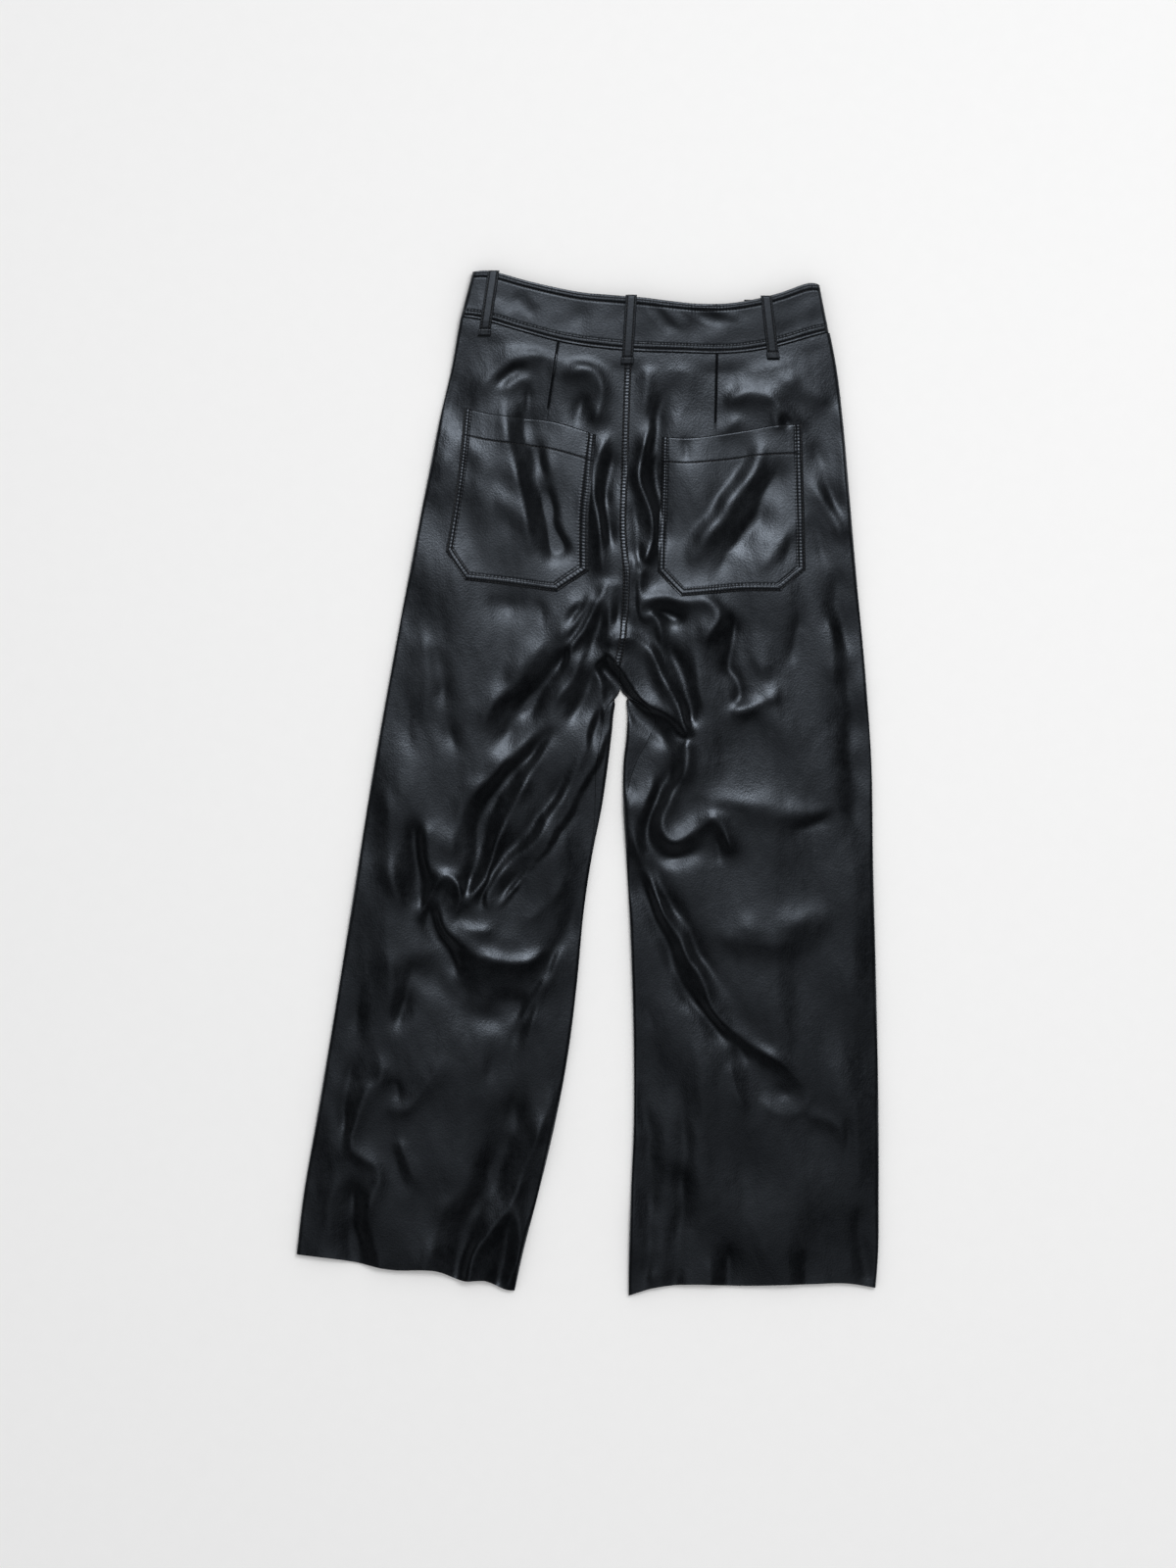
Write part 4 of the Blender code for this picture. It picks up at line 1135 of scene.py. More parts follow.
@dataclass
class Shell:
    """A closed thin wall: a fine outside, and an inside with fewer points.

    The inside follows the outside a thickness below it along the normals, at every other row and
    column. A rim closes the two along all four sides.
    """

    name: str
    outside: Array
    thickness: Array | float
    every: int = 2
    rubbed: Array | None = None

    def normals(self) -> Array:
        """Unit normals of the outside, from the steps along its rows and columns."""
        down, across = np.gradient(self.outside, axis=(0, 1))
        return unit(np.cross(across, down))

    def build(self, facing_up: bool, *finishes: bpy.types.Material) -> bpy.types.Object:
        """Makes the mesh and its object.

        Args:
            facing_up: Whether the outside looks up, which sets the way the normals point.
            finishes: The outside's material and the inside's.

        Returns:
            The new object.
        """
        rows, columns = self.outside.shape[:2]
        normals = self.normals()
        middle = normals[rows // 2, columns // 2]
        if (middle[2] > 0) != facing_up:
            normals = -normals
        thick = np.broadcast_to(np.asarray(self.thickness, float), (rows, columns))
        within = (self.outside - thick[..., None] * normals)[:: self.every, :: self.every]
        fine = np.arange(rows * columns).reshape(rows, columns)
        coarse = rows * columns + np.arange(within.shape[0] * within.shape[1]).reshape(within.shape[:2])
        faces = self._quads(fine) + self._quads(coarse[:, ::-1])
        inner_start = (rows - 1) * (columns - 1)
        inner_end = len(faces)
        k = self.every
        for edge, thin in (
            (fine[0, ::-1], coarse[0, ::-1]),
            (fine[:, 0], coarse[:, 0]),
            (fine[-1], coarse[-1]),
            (fine[::-1, -1], coarse[::-1, -1]),
        ):
            for j in range(len(thin) - 1):
                faces.append([*edge[j * k : j * k + k + 1].tolist(), int(thin[j + 1]), int(thin[j])])
        points = np.concatenate([self.outside.reshape(-1, 3), within.reshape(-1, 3)])
        piece = make_object(self.name, points, faces, finishes)
        if len(finishes) > 1:
            index = np.zeros(len(faces), np.int32)
            index[inner_start:inner_end] = 1
            piece.data.polygons.foreach_set("material_index", index)
        rubbed = np.zeros(len(points), np.float32)
        if self.rubbed is not None:
            rubbed[: rows * columns] = self.rubbed.reshape(-1)
        attribute = piece.data.attributes.new("rubbed", "FLOAT", "POINT")
        attribute.data.foreach_set("value", rubbed)
        return piece

    @staticmethod
    def _quads(index: NDArray[np.int64]) -> list[list[int]]:
        """The four corners of each cell of a grid of point numbers."""
        corners = (index[:-1, :-1], index[1:, :-1], index[1:, 1:], index[:-1, 1:])
        return np.stack(corners, -1).reshape(-1, 4).tolist()


MIDDLE = (0.16, 0.05, 0.0)
UP = (0.0, 0.0, 1.0)


def linked(name: str, data: bpy.types.ID | None) -> bpy.types.Object:
    """Puts a mesh, light or camera into the scene.

    Args:
        name: The object's name.
        data: What it shows.

    Returns:
        The object.
    """
    made = bpy.data.objects.new(name, data)
    bpy.context.scene.collection.objects.link(made)
    return made


def make_object(
    name: str, points: Array, faces: list[list[int]], finishes: Sequence[bpy.types.Material]
) -> bpy.types.Object:
    """Makes an object from points in millimetres, turned outwards and smooth.

    Args:
        name: The piece's name.
        points: Its points.
        faces: Point numbers of each face.
        finishes: Its materials, the first one on all faces.

    Returns:
        The object, at the origin.
    """
    mesh = bpy.data.meshes.new(name)
    mesh.from_pydata(((points - MIDDLE) * MM).tolist(), [], faces)
    for finish in finishes:
        mesh.materials.append(finish)
    first = [face[:3] for face in faces]
    corners = points[np.array(first)]
    volume = np.einsum("ij,ij->i", corners[:, 0], np.cross(corners[:, 1], corners[:, 2])).sum()
    if volume < 0:
        mesh.flip_normals()
    mesh.shade_smooth()
    mesh.set_sharp_from_angle(angle=1.0)
    mesh.update()
    return linked(name, mesh)


def report(piece: bpy.types.Object, *nodes: str, slot: str = "leather") -> bpy.types.Object:
    """Attaches a piece to the body, hides the CAD nodes that it stands for, and logs it.

    Args:
        piece: The piece.
        nodes: The nodes, if any.
        slot: Not used.

    Returns:
        The piece.
    """
    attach(piece, BODY)
    if nodes:
        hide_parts(*nodes)
    LOG.info("%s: %d faces", piece.name, len(piece.data.polygons))
    return piece


@dataclass
class Stitching:
    """Rows of stitches that make up one piece.

    A stitch is a short rod with four sides, narrower at its ends, half sunk into the leather.
    """

    name: str
    pitch: float = 3.2
    length: float = 2.5
    width: float = 0.62
    sink: float = 0.05
    ring_places: tuple[float, ...] = (-1.0, -0.62, 0.62, 1.0)
    ring_widths: tuple[float, ...] = (0.45, 1.0, 1.0, 0.45)
    ring_drops: tuple[float, ...] = (-0.28, 0.0, 0.0, -0.28)
    stitches: list[tuple[Array, Array, Array]] = field(default_factory=list)

    def sew(self, line: Array, normals: Array | tuple[float, ...] = UP) -> None:
        """Adds a row, centred on its line.

        Args:
            line: Close points on the surface.
            normals: The normal at each of them, or one for all.
        """
        run, normals = run_along(line), np.broadcast_to(normals, line.shape)
        count = int(run[-1] / self.pitch)
        if count < 1:
            return
        margin = (run[-1] - count * self.pitch) / 2
        at = margin + self.pitch * (np.arange(count) + 0.5)
        half = self.length / 2

        def read(values: Array, where: Array) -> Array:
            """Values along the row, read between its points."""
            return np.stack([np.interp(where, run, values[:, k]) for k in range(3)], -1)

        ahead = unit(read(line, at + half) - read(line, at - half))
        self.stitches.append((read(line, at), ahead, unit(read(normals, at))))

    def build(self, finish: bpy.types.Material) -> bpy.types.Object:
        """Makes all rows one mesh, with four rings of four points a stitch.

        Args:
            finish: The thread.

        Returns:
            The new object.
        """
        middles, ahead, up = (np.concatenate([row[k] for row in self.stitches]) for k in range(3))
        side = unit(np.cross(ahead, up))
        up = unit(np.cross(side, ahead))
        places = np.array(self.ring_places) * self.length / 2
        radii = np.array(self.ring_widths) * self.width / 2
        turns = np.arange(4) * np.pi / 2 + np.pi / 4
        drop = np.array(self.ring_drops) * self.width - self.sink
        points = (
            middles[:, None, None]
            + places[None, :, None, None] * ahead[:, None, None]
            + drop[None, :, None, None] * up[:, None, None]
            + (radii[:, None] * np.cos(turns))[None, :, :, None] * side[:, None, None]
            + (radii[:, None] * np.sin(turns))[None, :, :, None] * up[:, None, None]
        )
        ring = np.arange(4)
        after = (ring + 1) % 4
        tube = [
            np.stack([k * 4 + ring, k * 4 + after, k * 4 + 4 + after, k * 4 + 4 + ring], -1)
            for k in range(3)
        ]
        caps = np.array([[3, 2, 1, 0], [12, 13, 14, 15]])
        one = np.concatenate([*tube, caps])
        faces = (one[None] + 16 * np.arange(len(middles))[:, None, None]).reshape(-1, 4)
        return make_object(self.name, points.reshape(-1, 3), faces.tolist(), (finish,))


def even(count: int, multiple: int = 2) -> int:
    """The count of cells raised to a multiple, so that a shell's inside fits its outside."""
    return int(math.ceil(count / multiple) * multiple)


def row_levels(drape: Drape, cell: float) -> Array:
    """Levels of a panel's rows, evenly spread.

    Args:
        drape: How the layers lie.
        cell: Distance from row to row.

    Returns:
        The levels from the waist down to the hem.
    """
    pattern = drape.pattern
    top = float(pattern.seam(pattern.centre(pattern.waist_level))) - drape.seam_gap / 2
    count = even(round((top - pattern.hem_level) / cell))
    return np.linspace(top, pattern.hem_level, count + 1)


@dataclass
class BackPanel:
    """One back panel: seat and leg in one, from the outseam over the top to the centre and inseam."""

    side: Side
    drape: Drape
    dart: Dart
    cell: float = 2.1
    roll_columns: int = 7
    after_roll: float = 1.6
    dart_clear: float = 5.0
    beside_dart: tuple[float, ...] = (-3.2, -1.9, -1.1, -0.5, 0.0, 0.5, 1.1, 1.9, 3.2)
    before_seam: float = 6.0
    beside_seam: tuple[float, ...] = (4.4, 3.0, 2.0, 1.2, 0.6)
    edge_wear: Pair = (0.5, 4.0)
    hem_wear: Pair = (0.8, 3.0)

    def _places(self, levels: Array) -> list[Place]:
        """The lines down the panel.

        The first follow the turned edge, at distances that are even round its quarter of an ellipse.
        The others are spread evenly up to the dart's line, close together beside it, and evenly on.

        Args:
            levels: Levels of the rows.

        Returns:
            Each line, as x for a y.
        """
        drape, side = self.drape, self.side
        pattern, grow = drape.pattern, -side.value
        turns = np.linspace(0.0, np.pi / 2, self.roll_columns + 1)
        rolled = drape.roll * (1.0 - np.cos(turns))
        widths = np.abs(pattern.back_edge(side, levels) - pattern.outer(side, levels))

        def from_edge(distance: float) -> Place:
            """A line at one distance from the outer edge."""
            return lambda y: pattern.outer(side, y) + grow * distance

        def shared(share: Array) -> Place:
            """A line at a share of the panel's width in each row."""
            return lambda y: pattern.outer(side, y) + share * (
                pattern.back_edge(side, y) - pattern.outer(side, y)
            )

        def from_seam(distance: float) -> Place:
            """A line at one distance from the panel's inner end."""
            return lambda y: pattern.back_edge(side, y) - grow * distance

        first = (drape.roll + self.after_roll) / widths
        last = 1.0 - self.before_seam / widths
        dart_x = self.dart.x_at(levels)
        fold = np.abs(dart_x - pattern.outer(side, levels)) / widths
        held = float(fold[np.argmin(np.abs(levels - self.dart.foot[1]))])
        fold = np.where(levels < self.dart.foot[1], held, fold)
        clear = self.dart_clear / widths
        before = round(float(np.mean(fold * widths)) / self.cell)
        behind = round(float(np.mean((1 - fold) * widths)) / self.cell)
        shares = [first + t * (fold - clear - first) for t in np.linspace(0, 1, before)]
        shares += [fold + step / widths for step in self.beside_dart]
        shares += [fold + clear + t * (last - fold - clear) for t in np.linspace(0, 1, behind)]
        places = [from_edge(distance) for distance in rolled] + [shared(share) for share in shares]
        ends = [*self.beside_seam, drape.seam_gap / 2]
        if (len(places) + len(ends)) % 2 == 0:
            ends = ends[1:]
        return places + [from_seam(distance) for distance in ends]

    def build(self, finishes: Finishes) -> bpy.types.Object:
        """Makes the panel.

        Args:
            finishes: All materials.

        Returns:
            The piece, which stands for its solid.
        """
        pattern = self.drape.pattern
        levels = row_levels(self.drape, self.cell)
        spots = [pattern.settle(self.side, levels, place) for place in self._places(levels)]
        x, y = (np.stack([spot[k] for spot in spots], 1) for k in range(2))
        outside = self.drape.top(self.side, x, y)
        edge = self.edge_wear[0] * bell(x - pattern.outer(self.side, y), self.edge_wear[1])
        rubbed = np.maximum(edge, worn(levels[:, None] - pattern.hem_level + 0 * x, *self.hem_wear))
        shell = Shell(f"leather_back_{self.side.label}", outside, self.drape.leather, 2, rubbed)
        return report(shell.build(True, finishes.panel, finishes.backing), f"back_{self.side.label}")


@dataclass
class FrontPanel:
    """One front panel: flat under the garment, round the rolled edges and up to the inseam."""

    side: Side
    drape: Drape
    cell: float = 3.6
    flat_inner: Pair = (34.0, 0.2)
    inner_margin: float = 36.0
    first_share: float = 0.04
    middle_width: float = 95.0
    before_turn: Pair = (28.0, 1.5)
    strip_columns: int = 12

    def build(self, finishes: Finishes) -> bpy.types.Object:
        """Makes the panel from its underside, its inner turn and the strip up to the inseam.

        Args:
            finishes: All materials.

        Returns:
            The piece, which stands for its solid.
        """
        drape, side, pattern = self.drape, self.side, self.drape.pattern
        levels = row_levels(drape, self.cell)
        parted = pattern.parted(levels)[:, None]
        rolled = drape.roll * (1.0 - np.cos(np.linspace(0.0, np.pi / 2, 6)))

        def laid(place: Place, distance: float) -> Array:
            """Points of the lower layer on a line."""
            x, y = pattern.settle(side, levels, place)
            return np.stack([x, y, drape.floor_z(x, y, distance)], -1)

        def middle_line(share: float) -> Place:
            """A line at a share of the way over to the centre, or to the leg's inner edge."""
            return lambda y: pattern.outer(side, y) + share * (
                pattern.centre(y)
                + pattern.parted(y) * (pattern.inner(side, y) - pattern.centre(y))
                + self.inner_margin * side.value
                - pattern.outer(side, y)
            )

        def strip_line(share: float) -> Place:
            """A line at a share of the strip from the leg's inner edge up to the inseam."""
            return lambda y: pattern.inner(side, y) + side.value * share**1.5 * (
                pattern.inset(side, y) - drape.seam_gap / 2
            )

        columns = [laid(lambda y, d=d: pattern.outer(side, y) - side.value * d, d) for d in rolled]
        for share in np.linspace(self.first_share, 1.0, even(round(self.middle_width / self.cell)))[:-1]:
            columns.append(laid(middle_line(share), drape.roll))
        turns = [*(drape.roll + np.linspace(*self.before_turn, 6)), *rolled[::-1]]
        strip = np.linspace(0.0, 1.0, self.strip_columns + 1)[1:]
        flat = iter(np.linspace(*self.flat_inner, len(turns) + len(strip)))

        def joined(up: Array) -> Array:
            """A column that goes over to the centre front where the legs haven't parted."""
            down = laid(lambda y, d=next(flat): pattern.centre(y) + side.value * d, drape.roll)
            return down + parted * (up - down)

        for distance in turns:
            columns.append(
                joined(laid(lambda y, d=distance: pattern.inner(side, y) + side.value * d, distance))
            )
        for share in strip:
            columns.append(joined(drape.top(side, *pattern.settle(side, levels, strip_line(share)))))
        if len(columns) % 2 == 0:
            del columns[len(rolled) + 4]
        outside = np.stack(columns, 1)
        shell = Shell(f"leather_front_{side.label}", outside, drape.leather, 1)
        return report(shell.build(False, finishes.panel, finishes.backing), f"front_{side.label}")


@dataclass(frozen=True)
class SewnEdge:
    """The relief along a turned edge that is held by two rows of stitches.

    Between the rows the leather stands up over the turning and puckers at each stitch. Each row lies
    in a groove, and the edge itself is round.
    """

    first: float = 1.4
    second: float = 6.6
    swell: float = 0.85
    groove: float = 0.75
    groove_width: float = 0.85
    groove_wave: float = 0.35
    rise_span: Pair = (-0.6, 1.3)
    fall_span: Pair = (-1.5, 0.8)
    fade: float = 2.4
    pucker: float = 0.34
    pucker_beyond: float = 0.45
    pitch: float = 3.2
    round_off: float = 1.3
    drop: float = 1.2

    def relief(self, distance: Array, run: Array) -> Array:
        """Height over the plain surface at a distance in from the edge and a run along it.

        Args:
            distance: Millimetres in from the edge.
            run: Millimetres along it.

        Returns:
            The height that the sewing adds.
        """
        between = ease(distance, *(self.first + step for step in self.rise_span))
        between = between * (1.0 - ease(distance, *(self.second + step for step in self.fall_span)))
        waves = 0.5 + 0.5 * np.cos(2 * np.pi * run / self.pitch)
        grooves = sum(bell(distance - row, self.groove_width) for row in (self.first, self.second))
        beyond = np.exp(-np.clip(distance - self.second, 0.0, None) / self.fade)
        edge = -self.drop * (1.0 - quarter(distance, self.round_off))
        puckers = self.pucker * waves * (between + self.pucker_beyond * beyond * (distance > self.second))
        deep = 1.0 - self.groove_wave + self.groove_wave * (1 - waves)
        return self.swell * between - self.groove * grooves * deep + puckers + edge


@dataclass
class PatchPocket:
    """A patch pocket with a turned top and its lower corners cut off, sewn on with two rows.

    West, east, top and bottom are its four sides as if the corners were whole, and each cut is the
    length that is taken off a side at a lower corner.
    """

    side: Side
    drape: Drape
    top: tuple[Pair, ...]
    bottom: tuple[Pair, ...]
    west: tuple[Pair, ...]
    east: tuple[Pair, ...]
    width: float
    depth: float
    west_cut: Pair
    east_cut: Pair
    hem: float = 27.0
    hem_rise: float = 0.55
    hem_edge: float = 0.8
    hem_groove: float = -0.35
    hem_groove_width: float = 0.6
    lip: float = -1.6
    lip_width: float = 1.4
    rise: float = 1.5
    least_rise: float = 0.25
    edge_wear: Pair = (0.75, 1.6)
    lip_wear: Pair = (0.8, 1.8)
    cell: float = 0.85
    edge: SewnEdge = field(default_factory=SewnEdge)

    def _place(self, u: Array, v: Array) -> tuple[Array, Array]:
        """Blends the four sides into a patch, as Coons does.

        It adds what the two pairs of opposite sides give, and takes off the blend of the corners.

        Args:
            u: Share across from west to east.
            v: Share down from the top to the bottom.

        Returns:
            X and y.
        """
        top, bottom, west, east = (
            columns_at(np.linspace(0, 1, len(line)), line, t)
            for line, t in ((self.top, u), (self.bottom, u), (self.west, v), (self.east, v))
        )
        corner = [np.array(p, float) for p in (self.top[0], self.top[-1], self.bottom[0], self.bottom[-1])]
        u, v = u[..., None], v[..., None]
        spot = (1 - v) * top + v * bottom + (1 - u) * west + u * east
        spot = spot - (1 - u) * (1 - v) * corner[0] - u * (1 - v) * corner[1]
        spot = spot - (1 - u) * v * corner[2] - u * v * corner[3]
        return spot[..., 0], spot[..., 1]

    def _edges(self, a: Array, b: Array) -> tuple[Array, Array]:
        """Finds the nearest sewn edge: west, east, bottom or one of the two cuts.

        Args:
            a: Distance from the west side.
            b: Distance from the top.

        Returns:
            The distance to it, and the run along it.
        """
        east, low = self.width - a, self.depth - b
        candidates = [(a, b), (east, b + 1.6), (low, a)]
        for across, (down, along) in ((a, self.west_cut), (east, self.east_cut)):
            size = math.hypot(down, along)
            distance = (across * down + low * along - down * along) / size
            candidates.append((distance, (across * along - low * down) / size))
        distances = np.stack([c[0] for c in candidates])
        runs = np.stack([c[1] + 0 * a for c in candidates])
        nearest = distances.argmin(0)[None]
        return tuple(np.take_along_axis(values, nearest, 0)[0] for values in (distances, runs))

    def _surface(self, a: Array, b: Array) -> tuple[Array, Array, Array]:
        """Lays the pocket's face on the panel, raised along the normals by its sewing, hem and lip.

        Args:
            a: Distance from the west side.
            b: Distance from the top.

        Returns:
            Points, normals, and how rubbed each place is.
        """
        x, y = self._place(a / self.width, b / self.depth)
        base = self.drape.top(self.side, x, y)
        up = self.drape.top_normals(self.side, x, y, 1.2)
        distance, run = self._edges(a, b)
        relief = self.edge.relief(distance, run)
        hem = self.hem_rise * (1.0 - ease(b, self.hem - self.hem_edge, self.hem + self.hem_edge))
        groove = self.hem_groove * bell(b - self.hem, self.hem_groove_width) * (distance > self.edge.second)
        lip = self.lip * (1.0 - quarter(b, self.lip_width))
        height = np.maximum(self.rise + relief + hem + groove + lip, self.least_rise)
        rubbed = np.clip(worn(distance, *self.edge_wear) + worn(b, *self.lip_wear), 0.0, 1.0)
        return base + height[..., None] * up, up, rubbed

    def _grid(self) -> tuple[Array, Array]:
        """Lays out the grid: rows down the pocket, drawn in where the corners are cut.

        Returns:
            Distances of its points from the west side and from the top.
        """
        rows = even(round(self.depth / self.cell), 4)
        columns = even(round(self.width / self.cell), 4)
        b = np.linspace(0.0, self.depth, rows + 1)[:, None]
        left = self.west_cut[1] * np.clip((b - self.depth + self.west_cut[0]) / self.west_cut[0], 0, 1)
        right = self.east_cut[1] * np.clip((b - self.depth + self.east_cut[0]) / self.east_cut[0], 0, 1)
        share = np.linspace(0.0, 1.0, columns + 1)[None]
        a = left + share * (self.width - right - left)
        return a, b + 0 * a

    def build(self, finishes: Finishes) -> list[bpy.types.Object]:
        """Makes the pocket and its stitches.

        Args:
            finishes: All materials.

        Returns:
            The pocket, and its stitches.
        """
        a, b = self._grid()
        outside, _, rubbed = self._surface(a, b)
        shell = Shell(f"leather_pocket_{self.side.label}", outside, self.drape.leather, 4, rubbed)
        pocket = report(shell.build(True, finishes.pocket, finishes.backing), f"pocket_{self.side.label}")
        sewing = Stitching(f"stitches_pocket_{self.side.label}", pitch=self.edge.pitch)
        for inset in (self.edge.first, self.edge.second):
            corners = self._corners(inset)
            for start, end in zip(corners[:-1], corners[1:]):
                self._sew(sewing, start, end)
        margin = self.edge.second + self.hem_edge
        self._sew(sewing, (margin, self.hem), (self.width - margin, self.hem))
        return [pocket, report(sewing.build(finishes.thread))]

    def _sew(self, sewing: Stitching, start: Pair, end: Pair) -> None:
        """Sews one straight row.

        Args:
            sewing: The pocket's stitches.
            start: Distances of one end from the west side and from the top.
            end: Those of the other.
        """
        t = np.linspace(0.0, 1.0, 80)
        a, b = start[0] + t * (end[0] - start[0]), start[1] + t * (end[1] - start[1])
        points, normals, _ = self._surface(a, b)
        sewing.sew(points, normals)

    def _corners(self, inset: float) -> list[Pair]:
        """Corners of a row of stitches, which runs round three sides and the two cuts.

        Args:
            inset: Distance of the row from the edge.

        Returns:
            The corners, from the top of the west side round to the east.
        """
        low = self.depth - inset
        found: list[Pair] = [(inset, 0.6)]
        for down, along, mirror in ((*self.west_cut, False), (*self.east_cut, True)):
            size = math.hypot(down, along)
            total = inset * size + down * along
            on_side = self.depth - (total - inset * down) / along
            on_bottom = (total - inset * along) / down
            pair = [(inset, on_side), (on_bottom, low)]
            if mirror:
                pair = [(self.width - across, level) for across, level in reversed(pair)]
            found += pair
        return [*found, (self.width - inset, 0.6)]


@dataclass
class Waistband:
    """The waistband: a straight band with both long edges sewn in two rows, turned at the outseams."""

    drape: Drape
    stations: tuple[Triple, ...] = (
        (-111, 495, -122.5), (-98, 496, -109), (-84, 493.4, -94.5), (-61.5, 487, -71), (-33, 480.2, -41),
        (-4.5, 474.8, -11), (24, 472.2, 20), (52.5, 469.8, 51), (81, 466.2, 80.5), (109, 463.6, 110),
        (138, 464.2, 140.5), (166.5, 469, 170), (188, 474.8, 192.5), (209, 482.4, 214.5), (218, 483.6, 225),
        (224.5, 482, 233.5),
    )
    cell: float = 0.85
    doubled: float = 2.4
    front_split: float = 450.0
    row_points: int = 900
    edge_wear: Pair = (0.9, 1.8)
    low_edge: SewnEdge = field(default_factory=lambda: SewnEdge(first=3.0, second=8.2, swell=0.95))
    top_edge: SewnEdge = field(
        default_factory=lambda: SewnEdge(first=2.2, second=7.0, swell=0.8, round_off=2.2, drop=2.2)
    )
    hollow: float = -0.35
    waves: Waves = ((40.0, 0.26, 10, 1.0), (17.0, 0.07, 14, 1.6))
    seed: int = 5
    wrinkles: tuple[Fold, ...] = (
        Fold((-72, 476, 10, -14, 16, -12), 12, 9, -0.7),
        Fold((-96, 470, 12, -12, 18, -9), 12, 12, 0.5),
        Fold((58, 466, 12, -16, 14, -16), 9, 7, -0.8),
        Fold((68, 466, 16, -16, 14, -12), 9, 8, 0.6),
        Fold((96, 464, 16, -12, 24, -8), 9, 8, -0.8),
        Fold((112, 464, 18, -9, 22, -5), 7, 8, 0.6),
    )

    def _place(self, share: Array, across: Array) -> tuple[Array, Array]:
        """Finds places in the band, on straight lines from its seam to its top.

        Args:
            share: From 0 at its left end to 1 at its right.
            across: From 0 at its seam to 1 at its top.

        Returns:
            X and y.
        """
        keys = np.linspace(0.0, 1.0, len(self.stations))
        top_x, top_y, seam_x = np.moveaxis(columns_at(keys, self.stations, share), -1, 0)
        low_y = self.drape.pattern.seam(seam_x) + self.drape.seam_gap / 2
        return seam_x + across * (top_x - seam_x), low_y + across * (top_y - low_y)

    def _share(self, x: float) -> float:
        """Share along the band at which its seam is at x."""
        seams = [row[2] for row in self.stations]
        return float(np.interp(x, seams, np.linspace(0.0, 1.0, len(seams))))

    def _surface(self, share: Array, across: Array, layer: Layer) -> Array:
        """Lays out the band's outside, with its sewn edges and, above, its hollow and wrinkles.

        Args:
            share: Place along the band.
            across: Place from its seam to its top.
            layer: The upper or the lower half.

        Returns:
            Its points.
        """
        drape = self.drape
        x, y = self._place(share, across)
        seam_x, _ = self._place(share, np.zeros_like(across))
        low_x, high_x = self.stations[0][2], self.stations[-1][2]
        distance = np.minimum(seam_x - low_x, high_x - seam_x)
        run = seam_x - low_x
        up = across * drape.band_width
        relief = self.low_edge.relief(up, run) + self.top_edge.relief(drape.band_width - up, run + 1.1)
        arch = np.sin(np.pi * np.clip(across, 0, 1))
        middle = (drape.band_floor + drape.band_height) / 2
        if layer is Layer.UPPER:
            soft = np.zeros_like(x)
            for fold in self.wrinkles:
                soft += fold.height * fold.share(x, y)
            soft += drape.waved(x, y, self.waves, self.seed) * arch**0.5
            soft += drape.lean(x, y) + self.hollow * arch**2
            full = drape.band_height + relief + soft - (middle + drape.seam_gap / 2)
            z = middle + drape.seam_gap / 2 + full * drape.rolled(distance)
        else:
            full = drape.band_floor - 0.5 * np.minimum(relief, 0.4) - (middle - drape.seam_gap / 2)
            z = middle - drape.seam_gap / 2 + full * drape.rolled(distance)
        return np.stack([x, y, z], -1)

    def _columns(self, start: float, end: float) -> Array:
        """Shares along a piece of the band, closer together round its turned ends.

        Args:
            start: X of its seam's left end.
            end: X of its right end.

        Returns:
            The shares.
        """
        low_x, high_x = self.stations[0][2], self.stations[-1][2]
        roll = self.drape.roll
        turns = roll * (1.0 - np.cos(np.linspace(0.0, np.pi / 2, 6)))
        spots = np.linspace(start, end, round((end - start) / self.cell))
        if start == low_x:
            spots = np.concatenate([low_x + turns, spots[spots > low_x + roll + 0.4]])
        if end == high_x:
            spots = np.concatenate([spots[spots < high_x - roll - 0.4], high_x - turns[::-1]])
        spare = (len(spots) - 1) % 4
        if spare:
            spots = np.delete(spots, np.arange(20, 20 + spare))
        return np.array([self._share(x) for x in spots])

    def _piece(
        self, part: str, start: float, end: float, layer: Layer, finishes: Finishes
    ) -> bpy.types.Object:
        """Makes one piece of the band as a shell of two layers of leather.

        Args:
            part: Which piece, as its names end.
            start: X of its seam's left end.
            end: X of its right end.
            layer: The upper or the lower half.
            finishes: All materials.

        Returns:
            The piece, which stands for its solid.
        """
        share = self._columns(start, end)[None]
        across = np.linspace(0.0, 1.0, even(round(self.drape.band_width / self.cell), 4) + 1)[::-1, None]
        share, across = share + 0 * across, across + 0 * share
        up = across * self.drape.band_width
        rubbed = worn(np.minimum(up, self.drape.band_width - up), *self.edge_wear)
        shell = Shell(f"leather_band_{part}", self._surface(share, across, layer), self.doubled, 4, rubbed)
        piece = shell.build(layer is Layer.UPPER, finishes.band, finishes.backing)
        return report(piece, f"waistband_{part}")

    def build(self, finishes: Finishes) -> list[bpy.types.Object]:
        """Makes the back band, the two front ones and the stitches.

        Args:
            finishes: All materials.

        Returns:
            The pieces, the back band first and the stitches last.
        """
        low_x, high_x = self.stations[0][2], self.stations[-1][2]
        middle = float(self.drape.pattern.centre(self.front_split))
        gap = self.drape.seam_gap / 2
        pieces = [
            self._piece("back", low_x, high_x, Layer.UPPER, finishes),
            self._piece("front_left", low_x, middle - gap, Layer.LOWER, finishes),
            self._piece("front_right", middle + gap, high_x, Layer.LOWER, finishes),
        ]
        sewing = Stitching("stitches_band")
        roll = self.drape.roll
        share = np.linspace(self._share(low_x + roll), self._share(high_x - roll), self.row_points)
        rows = (
            self.low_edge.first,
            self.low_edge.second,
            self.drape.band_width - self.top_edge.second,
            self.drape.band_width - self.top_edge.first,
        )
        for up in rows:
            sewing.sew(self._surface(share, np.full_like(share, up / self.drape.band_width), Layer.UPPER))
        pieces.append(report(sewing.build(finishes.thread)))
        return pieces


